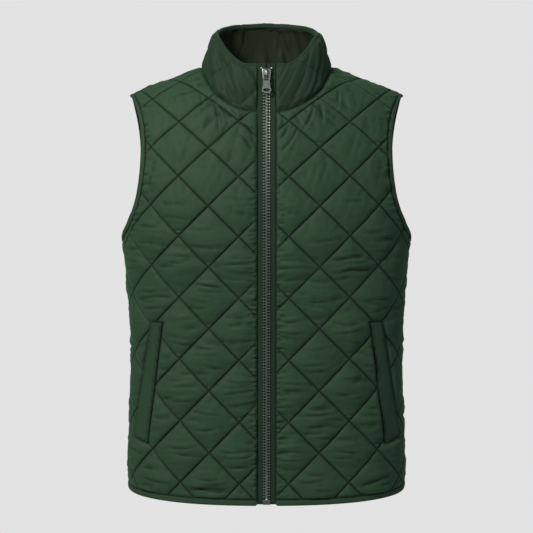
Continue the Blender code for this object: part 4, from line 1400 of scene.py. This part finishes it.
# The smooth lining inside the collar, with the soft upright folds of a turned band
def collarLiningPiece():
    count = 181
    alongs = np.linspace(-collarHalf, collarHalf, count)
    heights = collarHeight(alongs) - collar["turnIn"] + 0.6 * mm
    depth = 2 * collar["roll"]
    shares = np.linspace(0, 1, 19)
    across = np.tile(alongs, len(shares))
    up = np.concatenate([heights * share + 1 * mm * (1 - share) for share in shares])
    folds = 2.6 * softNoise((across + 0.25 * up) / (15 * mm), up / (60 * mm), 631)
    folds += 0.8 * softNoise((across - 0.2 * up) / (6.5 * mm), up / (34 * mm), 632)
    folds -= 3.4 * bell(across + 42 * mm - 0.12 * up, 6 * mm) + 3 * bell(across - 37 * mm + 0.16 * up, 6 * mm)
    ends = ease((collarHalf - np.abs(across)) / (12 * mm))
    level = np.tile(heights, len(shares))
    middle = ease(up / (10 * mm)) * ease((level - up) / (6 * mm)) * 0.75 + 0.25
    push = np.maximum(folds * ends * middle, -1.5) * mm
    neckFace = collarPoints(across, up, depth + push)
    backFace = collarPoints(across, up, np.full(len(up), depth - 1.2 * mm))
    piece = bandMesh("collar_facing", neckFace, backFace, count, facingCloth)
    # Painted shadow under the rolled rim, and painted shade in the folds
    paintShade(piece, 0.75 * bell(level - up, 9 * mm) + 0.5 * ease(-folds / 3) * middle)
    return piece


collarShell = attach(collarPiece(), "vest")
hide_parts("collar_outer")
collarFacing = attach(collarLiningPiece(), "vest")
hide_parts("collar_lining")
heights = collarHeight(np.linspace(-collarHalf, collarHalf, 200))
print("collar", len(collarShell.data.polygons), len(collarFacing.data.polygons))


# Bindings

binding = {
    "cut": 13 * mm,          # half the way round it
    "thick": 5.6 * mm,
    "centre": 1.7 * mm,
}


# Painted shade where a binding meets the panel, and a painted shadow where it turns under at its edge
def seamShade(wide, count, under):
    share = wide / np.abs(wide).max()
    return np.tile(np.maximum(0.85 * bell(1 - share, 0.3), under * ease((-share - 0.5) / 0.3)), count)


def armholeBinding(name, sign, seed):
    places, across, out = [], [], []
    for side in (front, back):
        edge = armholeLine(side, 0, 3 * mm)
        inside = armholeLine(side, form["bindingWidth"], 3 * mm)
        edgePlaces = torsoPoints(side, edge[:, 0], edge[:, 1])
        insidePlaces, normals = torsoSeats(side, inside[:, 0], inside[:, 1])
        seats = (edgePlaces + insidePlaces) / 2, (insidePlaces - edgePlaces) / 2, normals
        part = slice(0, -1) if side == front else slice(None, 0, -1)
        for found, values in zip((places, across, out), seats):
            found.append(values[part])
    places, across, out = (np.vstack(found) * (sign, 1, 1) for found in (places, across, out))
    places = places + out * binding["centre"]
    for _ in range(8):
        places = (np.roll(places, 1, axis=0) + 2 * places + np.roll(places, -1, axis=0)) / 4
    section = ovalSection(2, binding["thick"], 20, 0.75)
    lengths = runningLength(*places.T)
    taper = np.ones((len(places), len(section), 2))
    taper[..., 1] += 0.10 * softNoise(lengths[:, None] / (8 * mm), np.arange(20)[None] / 5, seed)
    piece = sweptStrip(name, places, across, out, section, True, trimCloth, taper)
    paintShade(piece, seamShade(section[:, 0], len(places), 0.95))
    return piece


def hemBinding():
    side, across = [], []
    for part in (front, back):
        length = quarterLength(part, form["hemZ"])[0]
        start = form["zipEdge"] - 0.3 * mm if part == front else 0
        half = np.linspace(start, length, round(length / (3 * mm)))
        half = half if part == front else half[::-1][1:]
        side.append(np.full(len(half), part))
        across.append(half)
    side, across = np.concatenate(side), np.concatenate(across)
    side = np.concatenate([side, side[::-1][1:]])
    across = np.concatenate([across, -across[::-1][1:]])
    places, out = np.empty((len(side), 3)), np.empty((len(side), 3))
    for part in (front, back):
        chosen = side == part
        up = hemUp(part, across[chosen]) + form["bindingWidth"] / 2
        places[chosen], out[chosen] = torsoSeats(part, across[chosen], up)
    places = places + out * binding["centre"]
    section = ovalSection(form["bindingWidth"], binding["thick"], 20, 0.7)
    lengths = runningLength(*places.T)
    taper = np.ones((len(places), len(section), 2))
    taper[..., 1] += 0.09 * softNoise(lengths[:, None] / (7 * mm), np.arange(20)[None] / 5, 71)
    fromEnd = np.minimum(lengths, lengths[-1] - lengths)[:, None]
    rounding = np.sqrt(np.clip(1 - (1 - fromEnd / (3.5 * mm)) ** 2 * (fromEnd < 3.5 * mm), 0.02, 1))
    taper[..., 0] *= 0.45 + 0.55 * rounding
    taper[..., 1] *= rounding
    upward = np.tile((0, 0, 1.0), (len(places), 1))
    piece = sweptStrip("bound_hem", places, upward, out, section, False, trimCloth, taper)
    paintShade(piece, seamShade(section[:, 0], len(places), 0.6))
    return piece


bindings = {
    "armhole_binding_left": armholeBinding("bound_armhole_left", 1, 61),
    "armhole_binding_right": armholeBinding("bound_armhole_right", -1, 62),
    "hem_binding": hemBinding(),
}
for node, piece in bindings.items():
    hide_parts(node)
    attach(piece, "vest")
print("bindings", sum(len(piece.data.polygons) for piece in bindings.values()))


# Pocket welts

# The raised strip over its seat: full in the middle, drawn in along its edge stitching
def weltHeights(points, outline, seed):
    edge = edgeDistance(points, outline)
    crown = 0.35 + 0.65 * ease(edge / (2.2 * mm)) ** 0.6
    stitch = bell(edge - welt["stitchIn"], 0.9 * mm)
    wave = softNoise(points[:, 1] / (23 * mm), points[:, 0] / (12 * mm), seed)
    drag = softNoise(points[:, 1] / (6 * mm), points[:, 0] / (9 * mm), seed + 1)
    drag *= bell(edge - welt["stitchIn"], 3 * mm)
    height = welt["thick"] * crown - 0.55 * mm * stitch + 0.5 * mm * wave + 0.5 * mm * drag
    # The second value is painted shade along the stitching and the edge, with a little over all of the strip
    return form["wall"] + welt["lift"] + height, 0.45 * stitch + 0.8 * bell(edge, 1.3 * mm) + 0.12


def weltThread(name, sign, seed):
    outline = weltOutline(sign)
    centre = outline.mean(0)
    line = []
    for point, ahead in zip(outline, np.roll(outline, -1, axis=0)):
        run = (ahead - point) / np.linalg.norm(ahead - point)
        aside = np.array((-run[1], run[0]))
        line.append(point + aside * math.copysign(welt["stitchIn"], (centre - point) @ aside))
    line = np.array(line)
    line = line[edgeDistance(line, outline) > 3.2 * mm]
    line = np.vstack([line, line[:1]])

    def seats(points):
        heights, _ = weltHeights(points, outline, seed)
        return raisedPlaces(front, points, heights)

    return stitchDashes(name, dashRows(line), seats)


def pocketWelt(name, sign, seed):
    outline = weltOutline(sign, spacing=2.5 * mm)
    low, high = outline.min(0), outline.max(0)
    x, y = np.meshgrid(np.arange(low[0], high[0], 2.2 * mm), np.arange(low[1], high[1], 2.2 * mm))
    inside = np.stack([x.ravel(), y.ravel()], 1)
    inside = inside[insideLoop(inside, outline)]
    inside = inside[edgeDistance(inside, outline) > 1 * mm]
    base = form["wall"] + welt["lift"]
    shade = []

    def outer(points):
        heights, paintedShade = weltHeights(points, outline, seed)
        shade.append(paintedShade)
        return raisedPlaces(front, points, heights)[0]

    def inner(points):
        places, out = torsoSeats(front, points[:, 0], points[:, 1])
        return places + out * base

    piece = clothWall(name, outline, inside, inside[::3], outer, inner, [shellCloth, shellCloth])
    paintShade(piece, shade[0])
    return piece


for node, sign, seed in (("pocket_welt_left", 1, 81), ("pocket_welt_right", -1, 91)):
    piece = pocketWelt("stitched_" + node, sign, seed)
    thread = weltThread("edge_stitching_" + node, sign, seed)
    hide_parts(node)
    for part in (piece, thread):
        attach(part, "vest")
    flat, area = cutOf(weltOutline(sign))
    print(piece.name, len(piece.data.polygons), "faces")


# Zip

zipper = {
    "tapeInner": 1.2 * mm,
    "seat": 0.4 * mm,
    "tape": 1 * mm,
    "topZ": 2 * mm,
    "bottomZ": -638 * mm,
    "chainBack": 1.7 * mm,
    "toothPitch": 4.2 * mm,
    "boxTop": -631 * mm,
    "boxHalf": 5.8 * mm,
    "sliderZ": -15 * mm,     # height of the pull tab's hinge
    "sliderBack": 2.2 * mm,  # the slider's plates lie this far out from the inside of the cloth
    "sliderThick": 5 * mm,
    "hingeOut": 2.3 * mm,
    "pullThick": 1.7 * mm,
    "stops": ((-7.2 * mm, 10.4 * mm), (7.5 * mm, 10 * mm)),   # across, and up from the hinge
}


# The inside of the cloth on the middle plane, from the hem to the collar's top
def zipLine():
    neckUp = flatPoints(front, 0, form["frontNeck"][0][1] * mm)[0, 1]
    ups = np.linspace(zipper["bottomZ"], neckUp, 40)
    foot, top, _ = collarFrame(np.array([collarHalf]))
    shares = np.linspace(0, 1, 9)[1:, None]
    line = np.vstack([torsoPoints(front, np.zeros(40), ups), foot + (top - foot) * shares])
    return softTurn(line, 3)


zipPath = zipLine()


# Places, directions outwards and directions along of the zip's cloth
def zipSeats(z):
    z = np.asarray(z, float)
    reach = 6 * mm
    low, high = np.maximum(z - reach, zipPath[0, 2]), np.minimum(z + reach, zipPath[-1, 2])
    y = np.interp(z, zipPath[:, 2], zipPath[:, 1])
    rise = np.interp(high, zipPath[:, 2], zipPath[:, 1]) - np.interp(low, zipPath[:, 2], zipPath[:, 1])
    run = np.stack([np.zeros(len(z)), rise, high - low], 1)
    run /= np.linalg.norm(run, axis=1)[:, None]
    out = np.stack([np.zeros(len(z)), -run[:, 2], run[:, 1]], 1)
    return np.stack([np.zeros(len(z)), y, z], 1), out, run


# A woven tape, with ribs along its edge and a bead under the teeth
def zipTape(name, sign):
    z = np.append(np.arange(zipper["bottomZ"], zipper["topZ"], 3 * mm), zipper["topZ"])
    places, out, _ = zipSeats(z)
    inner, outer = zipper["tapeInner"], form["zipEdge"] + 1 * mm
    seat, thick = zipper["seat"], zipper["tape"]
    section = [(inner, 0), (outer, 0), (outer, 0.5)]
    for middle in (11.6, 9.9, 8.2):
        for shift, rise in ((0.7, 0.55), (0.35, 0.95), (-0.35, 0.95), (-0.7, 0.55)):
            section.append(((middle + shift) * mm, rise))
    section += [(6.6 * mm, 0.6), (5.9 * mm, 1.2), (inner + 0.4 * mm, 1.25), (inner, 0.9)]
    section = [(x * sign, seat + thick * share) for x, share in section]
    across = np.tile((1.0, 0, 0), (len(z), 1))
    return sweptStrip(name, places, across, out, section, False, tapeCloth)


# One tooth from its head, past the middle, to its foot on the tape: across, half its height, thickness
toothRows = (
    (-1.3, 0.35, 1.9),
    (-0.7, 0.8, 2.3),
    (1.5, 0.85, 2.4),
    (2.3, 0.55, 1.7),
    (3.2, 0.5, 1.2),
    (3.7, 0.95, 2.0),
    (4.9, 1.05, 2.1),
    (5.3, 0.75, 1.5),
)


# Two rows of stamped teeth that lie between each other
def chainTeeth():
    low, high = zipper["boxTop"] + 0.5 * mm, zipper["sliderZ"] - 6 * mm
    count = int((high - low) / zipper["toothPitch"])
    rows = np.array(toothRows) * mm
    shape = []
    for x, half, thick in rows:      # a ring of six points at each place across
        shape.append([
            (x, -half, 0), (x, -half, thick * 0.7), (x, -half * 0.55, thick),
            (x, half * 0.55, thick), (x, half, thick * 0.7), (x, half, 0)])
    shape = np.array(shape).reshape(-1, 3)
    around = len(shape) // len(rows)
    tooth = []
    for i in range(len(rows) - 1):
        for j in range(around):
            k = (j + 1) % around
            tooth.append((i * around + j, i * around + k, (i + 1) * around + k, (i + 1) * around + j))
    ends = [tuple(range(around))[::-1], tuple(range(len(shape) - around, len(shape)))]
    vertices, faces = [], []
    for sign, start in ((1, 0.5), (-1, 1.0)):
        zs = low + (np.arange(count) + start) * zipper["toothPitch"]
        for place, out, run in zip(*zipSeats(zs)):
            shift = len(vertices) * len(shape)
            vertices.append(
                place + np.outer(shape[:, 0] * sign, (1, 0, 0)) + np.outer(shape[:, 1], run)
                + np.outer(shape[:, 2] + zipper["chainBack"], out))
            faces += [tuple(corner + shift for corner in face) for face in tooth + ends]
    return facingOut(meshObject("zip_teeth", np.vstack(vertices), faces, [toothMetal], smooth=False))


# A closed loop moved to its left
def offsetLoop(loop, distance):
    run = np.roll(loop, -1, axis=0) - np.roll(loop, 1, axis=0)
    run /= np.linalg.norm(run, axis=1)[:, None]
    return loop + np.stack([-run[:, 1], run[:, 0]], 1) * distance


# A plate built up from its back, each level a height and how far its edges draw in; later loops are holes
def stackedPlate(name, loops, levels, place, material):
    vertices, faces, total = [], [], sum(len(loop) for loop in loops)
    for height, inset in levels:
        flat = np.vstack([offsetLoop(loop, inset) for loop in loops])
        vertices.append(place(flat, height))
    for level in range(len(levels) - 1):
        start = level * total
        for loop in loops:
            for i in range(len(loop)):
                here, ahead = start + i, start + (i + 1) % len(loop)
                faces.append((here, ahead, ahead + total, here + total))
            start += len(loop)
    starts = np.cumsum([0] + [len(loop) for loop in loops])
    edges = []
    for start, loop in zip(starts, loops):
        edges += [(start + i, start + (i + 1) % len(loop)) for i in range(len(loop))]
    edges = [tuple(map(int, edge)) for edge in edges]
    for level in (0, len(levels) - 1):
        flat = np.vstack([offsetLoop(loop, levels[level][1]) for loop in loops])
        corners = [Vector(point) for point in flat * 1000]
        _, _, found, origins, _, _ = delaunay_2d_cdt(corners, edges, [], 1, 1e-6)
        for face in found:
            corner = [origins[i][0] for i in face]
            middle = flat[corner].mean(0)[None]
            if any(insideLoop(middle, flat[a:b])[0] for a, b in zip(starts[1:], starts[2:])):
                continue
            faces.append(tuple(i + level * total for i in corner))
    piece = facingOut(meshObject(name, np.vstack(vertices), faces, [material]))
    piece.data.set_sharp_from_angle(angle=math.radians(38))
    return piece


def arcPoints(x, up, radiusX, radiusUp, first, last, count):
    turns = np.radians(np.linspace(first, last, count))
    return [(x + radiusX * math.cos(turn), up + radiusUp * math.sin(turn)) for turn in turns]


# A loop from its right half, which runs down from the top: anticlockwise, in metres
def mirroredLoop(half):
    half = np.array(half) * mm
    return np.vstack([half, (half * (-1, 1))[::-1]])[::-1]


sliderSeat = [vectors[0] for vectors in zipSeats([zipper["sliderZ"]])]


# Points across and up from the hinge, at a height over the slider's back
def onSlider(flat, height):
    place, out, run = sliderSeat
    spots = place + np.outer(flat[:, 0], (1, 0, 0)) + np.outer(flat[:, 1], run)
    return spots + out * (zipper["sliderBack"] + height)


# Two plates on a wedge, open at the sides for the teeth, and the bridge that holds the pull tab
def sliderBody():
    half = [(0.9, 9.0)] + arcPoints(4.4, 7.0, 2.2, 2.2, 80, 0, 6)
    half += [(6.3, 3.5), (5.8, 1.0), (5.6, -3.0)] + arcPoints(3.6, -5, 2.0, 2.0, 0, -90, 5)
    loop = mirroredLoop(half)
    edge = 0.35 * mm
    levels = [
        (0, edge), (edge, 0), (1.1 * mm, 0), (1.25 * mm, 1.1 * mm), (3.5 * mm, 1.1 * mm), (3.65 * mm, 0),
        (4.55 * mm, 0), (4.9 * mm, 0.4 * mm), (5 * mm, 1.2 * mm)]
    body = stackedPlate("slider_plates", [loop], levels, onSlider, gunMetal)
    path = np.array([
        (8.6, 4.0), (8.3, 6.0), (7.2, 8.0), (5.4, 9.1), (3.0, 9.45),
        (-0.8, 9.45), (-2.4, 8.9), (-3.2, 7.6), (-3.5, 6.2), (-3.6, 4.6)]) * mm
    path = evenLine(path, 0.7 * mm)
    place, out, run = sliderSeat
    places = place + np.outer(path[:, 0], run) + np.outer(path[:, 1] + zipper["sliderBack"], out)
    turns = lineRuns(places)
    normals = np.cross((1.0, 0, 0), turns)
    shares = np.linspace(0, 1, len(path))
    taper = np.ones((len(path), 12, 2))
    taper[..., 0] += 0.35 * np.abs(2 * shares - 1)[:, None] ** 3
    across = np.tile((1.0, 0, 0), (len(path), 1))
    section = ovalSection(2.6 * mm, 1.1 * mm, 12, 0.6)
    bridge = sweptStrip("slider_bridge", places, across, normals, section, False, gunMetal, taper)
    return body, bridge


# A stamped tab: an eye round the slider's bridge, a waist, and a flared foot with a wide hole
def pullTab():
    half = arcPoints(0, -0.9, 5, 1.75, 78, 25, 5)
    half += [(4.9, -0.9), (4.9, -5), (4.9, -9.5), (5.2, -14), (5.8, -18)]
    half += arcPoints(0, -22.3, 7, 4.7, 12, -90, 12)[:-1]
    outline = mirroredLoop(half)
    corners = [(3, -0.9), (3, -8.0), (2.6, -8.4), (-2.6, -8.4), (-3, -8.0), (-3, -0.9)]
    eye = np.array(corners) * mm
    hole = np.array(arcPoints(0, -22.3, 4.7, 2.3, 360, 0, 25)[:-1]) * mm
    middle = zipper["sliderThick"] + zipper["hingeOut"]
    thick = zipper["pullThick"]
    edge = 0.3 * mm
    low, high = middle - thick / 2, middle + thick / 2
    levels = [(low, edge), (low + edge, 0), (high - edge, 0), (high, edge)]
    return stackedPlate("stamped_pull_tab", [outline, eye, hole], levels, onSlider, brightMetal)


# A stop clamped on the tape's end
def topStop(name, across, up):
    loop = np.array(arcPoints(0, 0, 1.7, 2.1, 0, 360, 13)[:-1]) * mm + (across, up)
    base = zipper["chainBack"] - zipper["sliderBack"]
    levels = [
        (base, 0.2 * mm), (base + 0.4 * mm, 0), (base + 1.7 * mm, 0),
        (base + 2.5 * mm, 0.5 * mm), (base + 2.8 * mm, 1 * mm)]
    return stackedPlate(name, [loop], levels, onSlider, gunMetal)


# The box at the bottom, with the pin's groove down its middle
def zipFoot():
    wide = zipper["boxHalf"]
    z = np.linspace(zipper["bottomZ"], zipper["boxTop"], 8)
    places, out, _ = zipSeats(z)
    base = zipper["chainBack"] / mm
    half = [
        (wide / mm, base), (wide / mm, base + 2), (wide / mm - 0.8, base + 2.8),
        (0.9, base + 3), (0.4, base + 2.2)]
    section = [(x * mm, y * mm) for x, y in half] + [(-x * mm, y * mm) for x, y in half[::-1]]
    taper = np.ones((len(z), len(section), 2))
    taper[[0, -1]] *= (0.93, 0.9)
    across = np.tile((1.0, 0, 0), (len(z), 1))
    piece = sweptStrip("zip_foot", places, across, out, section, False, gunMetal, taper)
    piece.data.set_sharp_from_angle(angle=math.radians(35))
    return piece


tapeUp = np.linspace(zipper["bottomZ"], zipper["topZ"], 200)
tapeLength = float(runningLength(*zipSeats(tapeUp)[0].T)[-1])
for node, sign in (("zip_tape_left", 1), ("zip_tape_right", -1)):
    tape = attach(zipTape("woven_" + node, sign), "vest")
    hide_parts(node)
sliderPlates, sliderBridge = sliderBody()
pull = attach(pullTab(), "pull_tab")
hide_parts("zip_pull")
hardware = {"zip_chain": [chainTeeth()], "zip_slider": [sliderPlates, sliderBridge], "zip_box": [zipFoot()]}
for name, spot in zip(("top_stop_right", "top_stop_left"), zipper["stops"]):
    hardware["zip_chain"].append(topStop(name, *spot))
for node, pieces in hardware.items():
    for piece in pieces:
        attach(piece, "vest")
        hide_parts(node)
print("zip", sum(len(piece.data.polygons) for pieces in hardware.values() for piece in pieces))


# Stage, light and camera

studio = {
    "background": 226,
    "sky": 0.31,               # light from straight above and from straight below
    "ground": 0.04,
    "keyStrength": 73,
    "fillStrength": 8,
    "floorZ": -1.5,
    "floorHalf": 1.3,
    "lookAt": (0, 0, -0.3),
    "keyPlace": (-1.4, -1.95, 1.45),
    "keySize": 0.6,
    "keyColour": (1, 0.96, 0.9),
    "fillPlace": (1.8, -2.2, 0.2),
    "fillSize": 1.6,
    "roomColour": (0.84, 0.94, 1, 1),
}

view = {
    "lens": 117.05,
    "sensor": 36,
    "distance": 2.6,
    "above": 6.5,              # degrees that the camera looks down
}


def areaLight(name, place, size, power, colour):
    data = bpy.data.lights.new(name, "AREA")
    data.color = colour
    data.shape = "DISK"
    data.size = size
    data.energy = power
    lamp = bpy.data.objects.new(name, data)
    lamp.location = place
    lamp.rotation_euler = (Vector(studio["lookAt"]) - Vector(place)).to_track_quat("-Z", "Y").to_euler()
    bpy.context.collection.objects.link(lamp)


def makeStage():
    world = bpy.data.worlds.new("studio")
    bpy.context.scene.world = world
    world.use_nodes = True
    tree = world.node_tree
    shown = tree.nodes["Background"]
    shown.inputs["Color"].default_value = linear(*[studio["background"]] * 3)
    room = addNode(tree, "ShaderNodeBackground")
    direction = addNode(tree, "ShaderNodeSeparateXYZ")
    tree.links.new(addNode(tree, "ShaderNodeTexCoord").outputs["Generated"], direction.inputs[0])
    height = addNode(tree, "ShaderNodeMapRange")
    height.inputs["From Min"].default_value = -1
    height.inputs["To Min"].default_value = studio["ground"]
    height.inputs["To Max"].default_value = studio["sky"]
    tree.links.new(direction.outputs["Z"], height.inputs["Value"])
    tree.links.new(height.outputs["Result"], room.inputs["Strength"])
    room.inputs["Color"].default_value = studio["roomColour"]
    seen = addNode(tree, "ShaderNodeLightPath").outputs["Is Camera Ray"]
    mix = addNode(tree, "ShaderNodeMixShader")
    tree.links.new(seen, mix.inputs[0])
    tree.links.new(room.outputs[0], mix.inputs[1])
    tree.links.new(shown.outputs[0], mix.inputs[2])
    tree.links.new(mix.outputs[0], tree.nodes["World Output"].inputs["Surface"])
    size, z = studio["floorHalf"], studio["floorZ"]
    floor = meshObject(
        "floor", [(-size, -size, z), (size, -size, z), (size, size, z), (-size, size, z)], [(0, 1, 2, 3)], [])
    material, tree, shader = newMaterial("pale floor")
    shader.inputs["Base Color"].default_value = (0.8, 0.8, 0.8, 1)
    shader.inputs["Roughness"].default_value = 0.9
    floor.data.materials.append(material)
    areaLight("key", studio["keyPlace"], studio["keySize"], studio["keyStrength"], studio["keyColour"])
    areaLight("fill", studio["fillPlace"], studio["fillSize"], studio["fillStrength"], (1, 1, 1))


def makeCamera():
    data = bpy.data.cameras.new("camera")
    data.sensor_width = view["sensor"]
    data.lens = view["lens"]
    camera = bpy.data.objects.new("camera", data)
    aim, above = Vector(studio["lookAt"]), math.radians(view["above"])
    camera.location = aim + Vector((0, -math.cos(above), math.sin(above))) * view["distance"]
    camera.rotation_euler = (aim - camera.location).to_track_quat("-Z", "Y").to_euler()
    bpy.context.collection.objects.link(camera)
    bpy.context.scene.camera = camera


makeStage()
makeCamera()
bpy.context.scene.view_settings.view_transform = "Standard"
print("stage and camera set")
